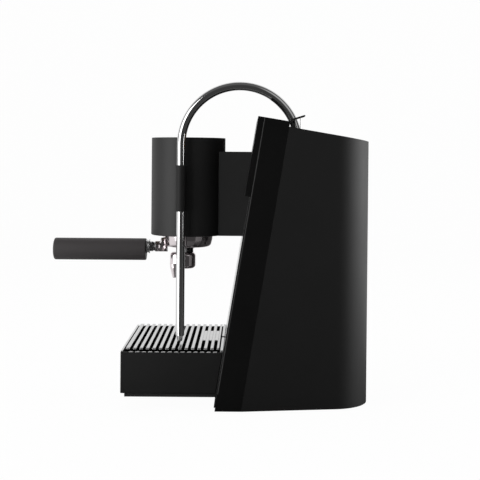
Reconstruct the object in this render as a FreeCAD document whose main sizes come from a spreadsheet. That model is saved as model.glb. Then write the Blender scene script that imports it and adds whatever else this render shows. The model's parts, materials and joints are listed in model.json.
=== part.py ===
import FreeCAD, Part
import math
import os

import Sketcher

# A pump coffee machine with a swivelling steam pipe, in millimetres.
# +Z is up, the front with the filter holder faces -X, and the origin is on the table
# under the middle of the whole machine, from the handle's end to the mains inlet.

# Driving dimensions
sizes = {
    # housing
    "base_depth": 175, "housing_width": 180, "front_height": 327.5, "front_lean": 9.25,
    "wall": 2, "foot_gap": 1.5, "band_depth": 29, "top_step": 6,
    "side_taper": 7.8, "rear_corner": 45, "plate_thick": 3, "foot_radius": 9, "foot_inset": 26,
    "fit": 0.3, "running_fit": 0.05, "seat_gap": 0.1,
    # front plate and control panel
    "front_sheet": 1.5, "panel_thick": 6.9, "panel_length": 90, "panel_inset": 1,
    "button_radius": 8, "button_thick": 4.2, "button_pitch": 44, "button_drop": 19,
    "button_stem": 2.5, "button_travel": 2, "lamp_radius": 2, "lamp_drop": 33,
    "switch_thick": 8, "switch_width": 12, "board_thick": 1.6, "board_height": 26,
    # brewing group and the arm that carries it
    "group_reach": 35.6, "group_radius": 44, "group_bottom": 190.1, "group_height": 115.1,
    "group_wall": 2.5, "cap_thick": 5, "arm_width": 49, "arm_height": 99, "arm_wall": 3,
    "ring_lip": 3, "groove_room": 1, "groove_height": 4.5, "ring_height": 16, "lug_height": 4,
    "lug_reach": 3.4,
    "lug_width": 14, "unlock_turn": 50,
    "boiler_radius": 32, "boiler_height": 78, "boiler_wall": 5, "flange_height": 6, "element_radius": 3,
    "gasket_width": 6.5, "screen_radius": 22, "screen_thick": 1.5,
    "screw_radius": 4, "screw_head": 2, "thermostat_radius": 8, "thermostat_height": 8,
    # filter holder
    "cup_radius": 30, "cup_height": 23.5, "cup_wall": 2.5, "cup_floor": 3, "cup_draft": 3.2,
    "cup_round": 4,
    "rod_radius": 6.3, "rod_start": 31, "rod_length": 14.2, "rod_drop": 14.9, "stud_radius": 4,
    "stud_length": 40,
    "handle_radius": 13, "handle_length": 110, "handle_drop": 2.9, "handle_round": 2.5,
    "ferrule_radius": 8.4, "ferrule_length": 4.6, "bracket_width": 15, "bracket_rise": 1,
    "bracket_lap": 2, "bracket_drop": 2, "bore_lead": 1,
    "nut_radius": 6.2, "nut_height": 6.4, "spout_width": 30, "spout_height": 19.7,
    "spout_behind": 9.7, "spout_ahead": 21.3, "outlet_radius": 5, "outlet_drop": 10.4,
    "outlet_spread": 18,
    "spout_skin": 1, "spout_step": 2, "spout_shoulder": 6,
    "basket_wall": 0.8, "basket_lip": 1, "basket_depth": 13,
    # drip tray
    "tray_front": 104.9, "tray_width": 174, "tray_bottom": 19.4, "tray_rim": 65.4, "tray_wall": 2.5,
    "carrier_thick": 4.7, "carrier_inset": 4, "ledge": 3,
    "grill_top": 69, "grill_sheet": 1.5, "grill_width": 167, "grill_fold": 12, "bar_pitch": 7.2,
    "slot_width": 3.6,
    "slot_count": 14, "slot_depth": 6.5, "patch_length": 21.6, "patch_width": 62, "finger_radius": 5,
    # steam pipe, its valve and its lever
    "steam_inset": 37, "steam_setback": 92.9, "pipe_radius": 5, "pipe_bore": 3, "bend_radius": 67,
    "bend_top": 364, "nozzle_end": 71.8, "nozzle_length": 7, "nozzle_tip": 2.6,
    "sleeve_radius": 6.2, "sleeve_bottom": 220, "sleeve_length": 53, "pipe_socket": 10,
    "gland_radius": 10.8, "gland_bore": 9.4, "gland_height": 2, "valve_length": 40, "valve_width": 28,
    "valve_height": 30, "valve_top": 297,
    "lever_width": 18, "lever_length": 15, "lever_thick": 2, "lever_rise": 20.5, "lever_throw": 30,
    "lever_inset": 14, "knuckle_radius": 2.5, "hinge_rise": 6.2, "hinge_gap": 3.6, "pin_radius": 1.25,
    "ear_thick": 2.5, "stem_radius": 2, "stem_reach": 8.4,
    # water tank, pump and hoses
    "tank_setback": 107.5, "tank_width": 112, "tank_top": 286, "tank_wall": 2, "tank_round": 8,
    "tank_clearance": 17.5,
    "seat_height": 38, "tank_margin": 2, "lid_thick": 2.5, "hinge_setback": 5, "lid_swing_gap": 1,
    "pump_radius": 21, "pump_length": 62, "pump_centre": 36, "pump_setback": 25.5, "outlet_inset": 10,
    "mount_thick": 10, "mount_inset": 2, "hose_radius": 4,
    "hose_bore": 2, "hose_bend": 22, "hose_rise": 100, "stub_length": 9, "water_side": 12,
    "water_height": 250, "steam_height": 276,
    "inlet_width": 28, "inlet_height": 21, "inlet_depth": 15, "inlet_flange": 4, "inlet_centre": 38,
}

doc = FreeCAD.newDocument("CoffeeMachine")
sheet = doc.addObject("Spreadsheet::Sheet", "Sizes")
for row, (name, value) in enumerate(sizes.items(), start=1):
    sheet.set(f"A{row}", name)
    sheet.set(f"B{row}", str(value))
    sheet.setAlias(f"B{row}", name)
doc.recompute()

# Formulas: {name} stands for a cell of the sheet
derived = {
    "reach": "({group_reach} + {rod_start} + {rod_length} + {ferrule_length} + {handle_length})",
    "front_edge": "(({reach} - {base_depth} - {wall}) / 2)",
    "rear_edge": "({front_edge} + {base_depth})",
    "steam_root": "({front_edge} + {steam_setback})",
    "tank_rear": "({rear_edge} - {tank_clearance})",
    "pump_front": "({front_edge} + {pump_setback})",
    "rod_height": "({group_bottom} - {rod_drop})",
    "handle_height": "({rod_height} - {handle_drop})",
    "steam_offset": "({housing_width} / 2 - {steam_inset})",
    "lever_offset": "({housing_width} / 2 - {lever_inset})",
    "tank_depth": "({base_depth} - {tank_clearance} - {tank_setback})",
}


class Cells(dict):
    def __missing__(self, name):
        return formula(derived[name]) if name in derived else f"Sizes.{name}"


def formula(text):
    return str(text).format_map(Cells())


def number(text):
    return float(sheet.evalExpression(formula(text)))


def bind(item, **bindings):
    for prop, text in bindings.items():
        item.setExpression(prop.replace("_at_", "."), formula(text))


# Two points closer than this are one point
closeness = 0.01

# Derived places, written once
front_x = "{front_edge}"
rear_x = "{rear_edge}"
half_width = "({housing_width} / 2)"
rise = "tan({front_lean})"
group_x = f"({front_x} - {{group_reach}})"
band_run = "({band_depth} / cos({front_lean}))"
top_front_x = f"({front_x} + {{front_height}} * {rise})"
deck_drop = "({top_step} / cos({front_lean}))"
arm_top = "({group_bottom} + {arm_height})"
steam_y = "(-{steam_offset})"
lever_y = "(-{lever_offset})"
cup_top = "({group_bottom} + {ring_lip} + {groove_height} + {ring_lip} / 2)"
cup_bottom = f"({cup_top} - {{cup_height}})"
spout_top = f"({cup_bottom} - {{nut_height}})"
spout_bottom = f"({spout_top} - {{spout_height}})"
tank_front = "({tank_rear} - {tank_depth})"
base_top = "({foot_gap} + {plate_thick})"
seat_top = f"({base_top} + {{seat_height}})"
carrier_bottom = "({tray_bottom} - {carrier_thick})"
tray_nose = f"({front_x} - {{tray_front}})"


def rear_half_at(height, inset="0"):
    run = f"({rear_x} - {front_at(height)} - {band_run})"
    return f"({half_width} - {run} * tan({{side_taper}}) - {inset})"


def front_at(height, proud="0"):
    return f"({front_x} - ({proud}) / cos({{front_lean}}) + ({height}) * {rise})"


def top_at(x):
    return f"({{front_height}} - (({x}) - {top_front_x}) * {rise})"


def deck_at(x):
    return f"({top_at(x)} - {deck_drop})"


# Building blocks
def new_body(name):
    return doc.addObject("PartDesign::Body", name)


def new_sketch(body, name, plane, offset):
    sketch = body.newObject("Sketcher::SketchObject", name)
    support = [part for part in body.Origin.OriginFeatures if part.Role == plane + "_Plane"]
    sketch.AttachmentSupport = [(support[0], "")]
    sketch.MapMode = "FlatFace"
    sketch.setExpression("AttachmentOffset.Base.z", formula(offset))
    return sketch


def pin_point(sketch, geometry, point, x, y):
    for kind, text in (("DistanceX", x), ("DistanceY", y)):
        index = sketch.addConstraint(Sketcher.Constraint(kind, -1, 1, geometry, point, number(text)))
        sketch.setExpression(f"Constraints[{index}]", formula(text))


def polygon(body, name, plane, corners, offset="0"):
    sketch = new_sketch(body, name, plane, offset)
    points = [FreeCAD.Vector(number(x), number(y), 0) for x, y in corners]
    for start, end in zip(points, points[1:] + points[:1]):
        sketch.addGeometry(Part.LineSegment(start, end))
    for index, (x, y) in enumerate(corners):
        sketch.addConstraint(Sketcher.Constraint("Coincident", index - 1 if index else len(points) - 1,
                                                 2, index, 1))
        pin_point(sketch, index, 1, x, y)
    return sketch


def rectangle(body, name, plane, x0, x1, y0, y1, offset="0"):
    return polygon(body, name, plane, [(x0, y0), (x1, y0), (x1, y1), (x0, y1)], offset)


def circles(body, name, plane, centres, radius, offset="0"):
    sketch = new_sketch(body, name, plane, offset)
    for index, (x, y) in enumerate(centres):
        centre = FreeCAD.Vector(number(x), number(y), 0)
        sketch.addGeometry(Part.Circle(centre, FreeCAD.Vector(0, 0, 1), number(radius)))
        pin_point(sketch, index, 3, x, y)
        place = sketch.addConstraint(Sketcher.Constraint("Radius", index, number(radius)))
        sketch.setExpression(f"Constraints[{place}]", formula(radius))
    return sketch


def extrude(body, kind, name, sketch, length, both=False, back=False):
    feature = body.newObject("PartDesign::" + kind, name)
    feature.Profile = sketch
    feature.Reversed = back
    feature.SideType = "Symmetric" if both else "One side"
    bind(feature, Length=length)
    before = body.Shape.Volume if kind == "Pocket" else None
    doc.recompute()
    if kind == "Pocket" and body.Shape.Volume > before - 1e-6:
        raise RuntimeError(f"{name} cuts nothing")
    return feature


def pad(body, name, sketch, length, both=False, back=False):
    return extrude(body, "Pad", name, sketch, length, both, back)


def pocket(body, name, sketch, length, both=False, back=False):
    return extrude(body, "Pocket", name, sketch, length, both, back)


def spin(body, name, sketch, kind="Revolution", axis="V_Axis"):
    feature = body.newObject("PartDesign::" + kind, name)
    feature.Profile = sketch
    feature.ReferenceAxis = (sketch, [axis])
    feature.Angle = 360
    doc.recompute()
    return feature


def dress(body, kind, name, size, chosen):
    base = body.Tip
    names = [f"Edge{index}" for index, edge in enumerate(base.Shape.Edges, start=1) if chosen(edge)]
    feature = body.newObject("PartDesign::" + kind, name)
    feature.Base = (base, names)
    bind(feature, **{"Radius" if kind == "Fillet" else "Size": size})
    doc.recompute()
    return feature


def upright(edge):
    direction = edge.Vertexes[-1].Point - edge.Vertexes[0].Point
    return direction.Length > 1 and abs(direction.z) > 0.9 * direction.Length


def place(item, x="0", y="0", z="0"):
    for axis, text in (("x", x), ("y", y), ("z", z)):
        item.setExpression(f"Placement.Base.{axis}", formula(text))


def cylinder(name, radius, height, x, y, z, along=FreeCAD.Vector(0, 0, 1)):
    item = doc.addObject("Part::Cylinder", name)
    bind(item, Radius=radius, Height=height)
    item.Placement = FreeCAD.Placement(FreeCAD.Vector(), FreeCAD.Rotation(FreeCAD.Vector(0, 0, 1), along))
    place(item, x, y, z)
    return item


def block(name, x0, x1, y0, y1, z0, z1):
    item = doc.addObject("Part::Box", name)
    bind(item, Length=f"{x1} - ({x0})", Width=f"{y1} - ({y0})", Height=f"{z1} - ({z0})")
    place(item, x0, y0, z0)
    return item


def cut(name, base, *tools):
    for step, tool in enumerate(tools, start=1):
        result = doc.addObject("Part::Cut", name if step == len(tools) else f"{name}_cut{step}")
        result.Base, result.Tool = base, tool
        base = result
    doc.recompute()
    return base


def join(name, *items):
    result = doc.addObject("Part::MultiFuse", name)
    result.Shapes = list(items)
    result.Refine = True
    doc.recompute()
    return result


# Nodes to write, by name
nodes = {}


def node(name, item):
    item.Label = name
    nodes[name] = item
    return item


def group_of(name, items):
    result = doc.addObject("Part::Compound", name)
    result.Links = items
    doc.recompute()
    return result


# The leaning front has a frame of its own: x runs inward along the top, z up along the front
def lean_frame():
    corner = FreeCAD.Vector(number(top_front_x), 0, number("{front_height}"))
    return FreeCAD.Placement(corner, FreeCAD.Rotation(FreeCAD.Vector(0, 1, 0), number("{front_lean}")))


def lean_block(name, x0, x1, y0, y1, z0, z1):
    item = doc.addObject("Part::Box", name)
    bind(item, Length=f"{x1} - ({x0})", Width=f"{y1} - ({y0})", Height=f"{z1} - ({z0})")
    corner = FreeCAD.Vector(number(x0), number(y0), number(z0))
    item.Placement = lean_frame().multiply(FreeCAD.Placement(corner, FreeCAD.Rotation()))
    return item


def lean_cylinder(name, radius, x0, x1, y, z, axis=FreeCAD.Vector(1, 0, 0)):
    item = doc.addObject("Part::Cylinder", name)
    bind(item, Radius=radius, Height=f"{x1} - ({x0})")
    start = FreeCAD.Vector(number(y), number(x0), number(z)) if axis.y else FreeCAD.Vector(number(x0),
            number(y), number(z))
    turn = FreeCAD.Rotation(FreeCAD.Vector(0, 0, 1), axis)
    item.Placement = lean_frame().multiply(FreeCAD.Placement(start, turn))
    return item


# Front casing: a leaning channel that is open behind and below
top_rear_x = f"({top_front_x} + {{band_depth}} * cos({{front_lean}}))"
top_rear_z = "({front_height} - {band_depth} * sin({front_lean}))"
beyond = "10"
casing_body = new_body("casing_body")
casing_outline = polygon(casing_body, "casing_outline", "XZ", [
    (front_at("{foot_gap}"), "{foot_gap}"),
    (f"{front_at('{foot_gap}')} + {band_run}", "{foot_gap}"),
    (top_rear_x, top_rear_z),
    (top_front_x, "{front_height}"),
])
pad(casing_body, "casing_block", casing_outline, "{housing_width}", both=True)
inner_corner_x = f"({top_front_x} + {{wall}} * cos({{front_lean}}) - {{wall}} * sin({{front_lean}}))"
inner_corner_z = "({front_height} - {wall} * sin({front_lean}) - {wall} * cos({front_lean}))"
past_rear = f"({top_rear_x} + {beyond})"
casing_hollow = polygon(casing_body, "casing_hollow", "XZ", [
    (front_at("0", "-{wall}"), "0"),
    (f"{front_at('0')} + {band_run} + {beyond}", "0"),
    (past_rear, f"{top_at(past_rear)} - {{wall}} / cos({{front_lean}})"),
    (inner_corner_x, inner_corner_z),
])
pocket(casing_body, "casing_inside", casing_hollow, "{housing_width} - 2 * {wall}", both=True)
duct_half = "({arm_width} / 2 - {arm_wall})"
duct_low = "({group_bottom} + {arm_wall})"
duct_high = f"({arm_top} - {{arm_wall}})"
duct = rectangle(casing_body, "arm_duct", "YZ", f"-{duct_half}", duct_half, duct_low, duct_high,
                 offset=f"{front_at(arm_top)} + {beyond}")
pocket(casing_body, "arm_duct_cut", duct, "2 * {arm_width}")

# Push buttons with their stems, one above each lamp
button_names = {"power_button": "-{button_pitch}", "coffee_button": "0", "steam_button": "{button_pitch}"}
stem_end = "({wall} + {fit})"
stem_holes = []
button_holes = []
lamps = []
lamp_holes = []
for name, y in button_names.items():
    cap_back = "(-{panel_thick} + {button_thick})"
    cap_piece = lean_cylinder(f"{name}_cap", "{button_radius}", "-{panel_thick}", cap_back, y,
                              "-{button_drop}")
    stem_piece = lean_cylinder(f"{name}_stem", "{button_stem}", cap_back, stem_end, y, "-{button_drop}")
    node(name, join(name, cap_piece, stem_piece))
    stem_holes.append(lean_cylinder(f"{name}_stem_hole", "{button_stem} + {fit}", f"-{beyond}", beyond,
                                    y, "-{button_drop}"))
    button_holes.append(lean_cylinder(f"{name}_hole", "{button_radius} + {fit}", f"-{beyond}", beyond, y,
                                      "-{button_drop}"))
    lamps.append(lean_cylinder(f"{name}_lamp", "{lamp_radius}", "-{panel_thick}", "0", y, "-{lamp_drop}"))
    lamp_holes.append(lean_cylinder(f"{name}_lamp_hole", "{lamp_radius} + {seat_gap}", f"-{beyond}",
                                    beyond, y, "-{lamp_drop}"))
node("front_casing", cut("front_casing", casing_body, *stem_holes))
node("indicator_lamps", group_of("indicator_lamps", lamps))

# Control panel and front plate, both notched for the arm
panel_half = f"({half_width} - {{panel_inset}})"
arm_half = "({arm_width} / 2 + {fit})"
panel_slab = lean_block("panel_slab", "-{panel_thick}", "0", f"-{panel_half}", panel_half,
                        "-{panel_length}", "0")
arm_clearance = block("arm_clearance", f"{group_x}", rear_x, f"-{arm_half}", arm_half,
                      "{group_bottom} - {fit}", f"{arm_top} + {{fit}}")
node("control_panel", cut("control_panel", panel_slab, arm_clearance, *button_holes, *lamp_holes))
plate_length = "({front_height} / cos({front_lean}) - {foot_gap} - {plate_thick})"
plate_sheet = lean_block("plate_sheet", "-{front_sheet}", "0", f"-{panel_half}", panel_half,
                         f"-{plate_length}", "-{panel_length}")
node("front_plate", cut("front_plate", plate_sheet, arm_clearance))

# Control board behind the front wall, with one switch behind each button
switch_front = f"({stem_end} + {{button_travel}} + {{fit}})"
board_front = f"({switch_front} + {{switch_thick}})"
board_pieces = [lean_block("board_sheet", board_front, f"{board_front} + {{board_thick}}",
                           f"-{half_width} + {{wall}} + {{fit}}",
                           f"{half_width} - {{wall}} - {{fit}}", "-{button_drop} - {board_height} / 2",
                           "-{button_drop} + {board_height} / 2")]
for name, y in button_names.items():
    board_pieces.append(lean_block(f"{name}_switch", switch_front, board_front,
                                   f"{y} - {{switch_width}} / 2",
                                   f"{y} + {{switch_width}} / 2", "-{button_drop} - {switch_width} / 2",
                                   "-{button_drop} + {switch_width} / 2"))
node("control_board", join("control_board", *board_pieces))


# Rear shell: its sides taper from the casing's rear edge, and its rear corners are rounded
def shell_form(name, bottom, inset):
    plan = new_body(f"{name}_plan")
    far = "(2 * {base_depth})"
    ahead = f"({{band_depth}} - {inset})"
    front_half = f"({half_width} - {inset} + {inset} * tan({{side_taper}}))"
    far_half = f"({half_width} - {inset} - ({far} - {{band_depth}}) * tan({{side_taper}}))"
    plan_outline = polygon(plan, f"{name}_plan_outline", "XY", [(ahead, f"-{front_half}"),
            (far, f"-{far_half}"),
                                                                (far, far_half), (ahead, front_half)])
    pad(plan, f"{name}_prism", plan_outline, "4 * {front_height}", both=True)
    plan.Placement = lean_frame()
    side = new_body(f"{name}_side")
    near = f"({front_x} - {beyond})"
    rear = f"({rear_x} - {inset})"
    drop = f"{inset} / cos({{front_lean}})"
    side_outline = polygon(side, f"{name}_side_outline", "XZ", [(near, bottom), (rear, bottom),
            (rear, f"{deck_at(rear)} - {drop}"),
                                                                (near, f"{deck_at(near)} - {drop}")])
    pad(side, f"{name}_slab", side_outline, "2 * {housing_width}", both=True)
    whole = doc.addObject("Part::Common", f"{name}_whole")
    whole.Base, whole.Tool = plan, side
    doc.recompute()
    corners = doc.addObject("Part::Fillet", name)
    corners.Base = whole
    radius = number("{rear_corner}") - number(inset)
    corners.Edges = [(index, radius, radius) for index, edge in enumerate(whole.Shape.Edges, start=1)
                     if upright(edge) and edge.CenterOfMass.x > number(rear) - number("{wall}")]
    doc.recompute()
    return corners


shell_outer = shell_form("shell_outer", "{foot_gap}", "0")
shell_inner = shell_form("shell_inner", "0", "{wall}")

# Tank lid, flush in the deck, with its hinge at the rear
lid_front = f"(({tank_front} - {top_front_x}) / cos({{front_lean}}) + {{tank_margin}})"
lid_rear = f"(({{tank_rear}} - {top_front_x}) / cos({{front_lean}}) - {{tank_margin}})"
lid_half = "({tank_width} / 2 - {tank_margin})"
lid_axis_x = f"({lid_rear} - {{hinge_setback}})"
lid_axis_z = "(-{top_step} - {lid_thick})"
across = FreeCAD.Vector(0, 1, 0)
ear_outer = f"({lid_half} + {{ear_thick}} + {{fit}})"
lid_opening = lean_block("lid_opening", f"{lid_front} - {{fit}}", f"{lid_rear} + {{lid_swing_gap}}",
                         f"-{lid_half} - {{fit}}",
                         f"{lid_half} + {{fit}}", f"-{{top_step}} - {beyond}",
                         f"-{{top_step}} + {beyond}")
lid_ears = []
for name, low, high in (("near_lid_ear", f"-{ear_outer}", f"-{lid_half} - {{fit}}"),
                        ("far_lid_ear", f"{lid_half} + {{fit}}", ear_outer)):
    lid_ears.append(lean_block(name, f"{lid_axis_x} - 2 * {{knuckle_radius}}",
                               f"{lid_axis_x} + 2 * {{knuckle_radius}}", low, high,
                               f"{lid_axis_z} - 2 * {{knuckle_radius}}", "-{top_step} - {wall} / 2"))
lid_pin_hole = lean_cylinder("lid_pin_hole", "{pin_radius} + {running_fit}", f"-{ear_outer} - {beyond}",
                             f"{ear_outer} + {beyond}",
                             lid_axis_x, lid_axis_z, axis=across)
lid_sheet = lean_block("lid_sheet", lid_front, lid_rear, f"-{lid_half}", lid_half,
                       "-{top_step} - {lid_thick}", "-{top_step}")
lid_knuckle = lean_cylinder("lid_knuckle", "{knuckle_radius}", f"-{lid_half}", lid_half, lid_axis_x,
                            lid_axis_z, axis=across)
node("tank_lid", cut("tank_lid", join("lid_whole", lid_sheet, lid_knuckle), lid_pin_hole))
node("lid_pin", lean_cylinder("lid_pin", "{pin_radius}", f"-{ear_outer}", ear_outer, lid_axis_x,
                              lid_axis_z, axis=across))

# Steam lever's hinge line, behind the casing's top edge
hinge_x = f"({top_rear_x} + {{hinge_gap}})"
hinge_z = f"({deck_at(hinge_x)} + {{hinge_rise}})"
stem_x = f"({hinge_x} + {{stem_reach}})"

# Rear shell with its openings and the ears of the lid's hinge
inlet_half = "({inlet_width} / 2)"
inlet_low = "({inlet_centre} - {inlet_height} / 2)"
inlet_high = "({inlet_centre} + {inlet_height} / 2)"
inlet_hole = block("inlet_hole", f"{rear_x} - {{inlet_depth}}", f"{rear_x} + {beyond}",
                   f"-{inlet_half} - {{fit}}", f"{inlet_half} + {{fit}}",
                   f"{inlet_low} - {{fit}}", f"{inlet_high} + {{fit}}")
gland_hole = cylinder("gland_hole", "{gland_radius} + {seat_gap}", "{front_height}", "{steam_root}",
                      steam_y, "{valve_top}")
stem_hole = cylinder("stem_hole", "{stem_radius} + {fit}", "{front_height}", stem_x, lever_y,
                     "{valve_top}")
shell_open = cut("shell_open", shell_outer, shell_inner, lid_opening, inlet_hole, gland_hole, stem_hole)
node("rear_shell", cut("rear_shell", join("shell_with_ears", shell_open, *lid_ears), lid_pin_hole))

# Base plate and feet
base_body = new_body("base_plate")
base_crease = f"({front_at('{foot_gap}')} + {band_run})"
base_inset = "({wall} + {fit})"
base_outline = polygon(base_body, "base_outline", "XY", [
    (f"{front_at(base_top, '-{wall}')} + {{fit}}", f"-({half_width} - {base_inset})"),
    (base_crease, f"-({half_width} - {base_inset})"),
    (f"{rear_x} - {base_inset}", f"-{rear_half_at('{foot_gap}', base_inset)}"),
    (f"{rear_x} - {base_inset}", rear_half_at("{foot_gap}", base_inset)),
    (base_crease, f"{half_width} - {base_inset}"),
    (f"{front_at(base_top, '-{wall}')} + {{fit}}", f"{half_width} - {base_inset}"),
], offset="{foot_gap}")
pad(base_body, "base_sheet", base_outline, "{plate_thick}")
dress(base_body, "Fillet", "base_corners", f"{{rear_corner}} - {base_inset}",
      lambda edge: upright(edge) and edge.CenterOfMass.x > number(rear_x) - 2 * number(base_inset))
node("base_plate", base_body)
feet = []
for x, y in ((f"{front_x} + {{foot_inset}}", f"{half_width} - {{foot_inset}}"),
             (f"{rear_x} - {{foot_inset}}", rear_half_at("{foot_gap}", "{foot_inset}"))):
    for side in ("-", ""):
        feet.append(cylinder(f"foot_{len(feet) + 1}", "{foot_radius}", "{foot_gap}", x, f"{side}({y})",
                             "0"))
node("rubber_feet", group_of("rubber_feet", feet))

# Mains inlet at the rear
inlet_body = block("inlet_body", f"{rear_x} - {{inlet_depth}}", f"{rear_x}", f"-{inlet_half}",
                   inlet_half, inlet_low, inlet_high)
inlet_rim = block("inlet_rim", f"{rear_x}", f"{rear_x} + {{wall}}", f"-{inlet_half} - {{inlet_flange}}",
                  f"{inlet_half} + {{inlet_flange}}",
                  f"{inlet_low} - {{inlet_flange}}", f"{inlet_high} + {{inlet_flange}}")
inlet_socket = block("inlet_socket", f"{rear_x} - {{inlet_depth}} + {{inlet_flange}}",
                     f"{rear_x} + {beyond}", f"-{inlet_half} + {{wall}}",
                     f"{inlet_half} - {{wall}}", f"{inlet_low} + {{wall}}", f"{inlet_high} - {{wall}}")
node("power_inlet", cut("power_inlet", join("inlet_whole", inlet_body, inlet_rim), inlet_socket))


# Brewing group: a tube with a duct to the arm, closed by a cap
def turned(name, corners):
    body = new_body(name)
    outline = polygon(body, f"{name}_outline", "XZ", corners)
    spin(body, f"{name}_turn", outline)
    place(body, group_x)
    return body


group_top = "({group_bottom} + {group_height})"
group_bore = "({group_radius} - {group_wall})"
group_body = turned("group_housing", [(group_bore, "{group_bottom}"),
                                      ("{group_radius}", "{group_bottom}"),
                                      ("{group_radius}", group_top), (group_bore, group_top)])
group_duct = rectangle(group_body, "group_duct", "YZ", f"-{duct_half}", duct_half, duct_low, duct_high,
                       offset=f"{{group_radius}} + {beyond}")
pocket(group_body, "group_duct_cut", group_duct, "{group_radius}")
node("group_housing", group_body)
cap_edge = f"({group_bore} - {{seat_gap}})"
cap_body = turned("group_cap", [("0", f"{group_top} - {{cap_thick}}"),
                                (cap_edge, f"{group_top} - {{cap_thick}}"),
                                (cap_edge, f"{group_top} - {{group_wall}} / 2"),
                                ("0", f"{group_top} - {{group_wall}} / 2")])
node("group_cap", cap_body)

# Arm between the group and the leaning front
arm_outer = block("arm_outer", group_x, f"{front_at(arm_top)} + {beyond}", "-{arm_width} / 2",
                  "{arm_width} / 2", "{group_bottom}", arm_top)
arm_inner = block("arm_inner", f"{group_x} - {beyond}", f"{front_at(arm_top)} + 2 * {beyond}",
                  f"-{duct_half}", duct_half, duct_low, duct_high)
arm_front = cylinder("arm_front", "{group_radius} + {seat_gap}", "{front_height}", group_x, "0", "0")
behind_front = lean_block("behind_front", "0", "{base_depth}", "-{housing_width}", "{housing_width}",
                          "-2 * {front_height}", "{front_height}")
node("group_arm", cut("group_arm", arm_outer, arm_inner, arm_front, behind_front))

# Bayonet ring: a lip, a groove for the filter holder's lugs and two entry slots
groove_radius = "({cup_radius} + {lug_reach} + {groove_room})"
lip_top = "({group_bottom} + {ring_lip})"
groove_top = f"({lip_top} + {{groove_height}})"
boiler_bottom = "({group_bottom} + {ring_height})"
lip_radius = "({cup_radius} + {fit})"
ring_bore = "({cup_radius} + 3 * {fit})"
ring_body = turned("ring_turned", [(lip_radius, "{group_bottom}"), (cap_edge, "{group_bottom}"),
                                   (cap_edge, boiler_bottom), (ring_bore, boiler_bottom),
                                   (ring_bore, groove_top), (groove_radius, groove_top),
                                   (groove_radius, lip_top), (lip_radius, lip_top)])
entry_half = "({lug_width} / 2 + 4 * {fit})"
entry = block("bayonet_entry", f"-{entry_half}", entry_half, f"-{groove_radius}", groove_radius,
              f"{{group_bottom}} - {beyond}", lip_top)
entry.Placement = FreeCAD.Placement(
    FreeCAD.Vector(number(group_x), 0, 0), FreeCAD.Rotation(FreeCAD.Vector(0, 0, 1),
                                                            -number("{unlock_turn}"))).multiply(
    FreeCAD.Placement(FreeCAD.Vector(-number(entry_half), -number(groove_radius),
                                     number("{group_bottom}") - number(beyond)), FreeCAD.Rotation()))
for axis in "xyz":
    entry.setExpression(f"Placement.Base.{axis}", None)
node("bayonet_ring", cut("bayonet_ring", ring_body, entry))

# Boiler in the group, with its unions, heating element and thermostat
boiler_top = f"({boiler_bottom} + {{boiler_height}})"
flange_radius = "({boiler_radius} + 2 * {element_radius})"
flange_top = f"({boiler_bottom} + {{flange_height}})"
boiler_bore = "({boiler_radius} - {boiler_wall})"
boiler_body = turned("boiler", [("{hose_bore}", boiler_bottom), (flange_radius, boiler_bottom),
                                (flange_radius, flange_top),
                                ("{boiler_radius}", flange_top), ("{boiler_radius}", boiler_top),
                                ("0", boiler_top),
                                ("0", f"{boiler_top} - {{boiler_wall}}"),
                                (boiler_bore, f"{boiler_top} - {{boiler_wall}}"),
                                (boiler_bore, flange_top), ("{hose_bore}", flange_top)])
unions = circles(boiler_body, "boiler_unions", "YZ", [("{water_side}", "{water_height}"),
                                                      ("-{water_side}", "{steam_height}")],
                 "{hose_radius}", offset=boiler_bore)
pad(boiler_body, "boiler_union_pads", unions, "{boiler_wall} + {stub_length}")
union_end = f"({group_x} + {{boiler_radius}} + {{stub_length}})"
node("boiler", boiler_body)
element = doc.addObject("Part::Torus", "heating_element")
bind(element, Radius1="{boiler_radius} + {element_radius} + {seat_gap}", Radius2="{element_radius}")
place(element, group_x, "0", f"{flange_top} + {{element_radius}} + {{seat_gap}}")
node("heating_element", element)
node("thermostat", cylinder("thermostat", "{thermostat_radius}", "{thermostat_height}", group_x, "0",
                            boiler_top))

# Filter holder: cup, lugs, bracket, rod and stud in one casting
cup_foot = "({cup_radius} - {cup_draft})"
holder_body = turned("filter_holder", [("0", cup_bottom), (cup_foot, cup_bottom),
                                       ("{cup_radius}", "{group_bottom}"), ("{cup_radius}", cup_top),
                                       ("0", cup_top)])
dress(holder_body, "Fillet", "cup_round_edge", "{cup_round}",
      lambda edge: len(edge.Vertexes) == 1 and abs(edge.CenterOfMass.z - number(cup_bottom)) < closeness)
lug_bottom = f"({lip_top} + {{seat_gap}})"
lugs = rectangle(holder_body, "lug_outline", "XY", "-{lug_width} / 2", "{lug_width} / 2",
                 "-{cup_radius} - {lug_reach}",
                 "{cup_radius} + {lug_reach}", offset=lug_bottom)
pad(holder_body, "lugs", lugs, "{lug_height}")
bracket_low = "({rod_height} - {rod_radius} + {bracket_rise})"
bracket = polygon(holder_body, "bracket_outline", "XZ", [
    ("-{rod_start} - {bracket_lap}", bracket_low), ("-{rod_start} - {bracket_lap}",
                                                    "{rod_height} + {rod_radius}"),
    ("-{cup_radius} + {cup_draft} + {bracket_lap}", "{group_bottom} - {bracket_drop}"),
    ("-{cup_radius} + {bracket_width} / 2", "{group_bottom} - {bracket_drop}"),
    ("-{cup_radius} + {bracket_width} / 2", f"{cup_bottom} + {{cup_round}}"),
    ("-{rod_start} + {bracket_lap}", bracket_low)])
pad(holder_body, "bracket", bracket, "{bracket_width}", both=True)
rod = circles(holder_body, "rod_outline", "YZ", [("0", "{rod_height}")], "{rod_radius}",
              offset="-{rod_start}")
pad(holder_body, "rod", rod, "{rod_length}", back=True)
rod_end = "({rod_start} + {rod_length})"
stud = circles(holder_body, "stud_outline", "YZ", [("0", "{rod_height}")], "{stud_radius}",
               offset=f"-{rod_end}")
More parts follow.
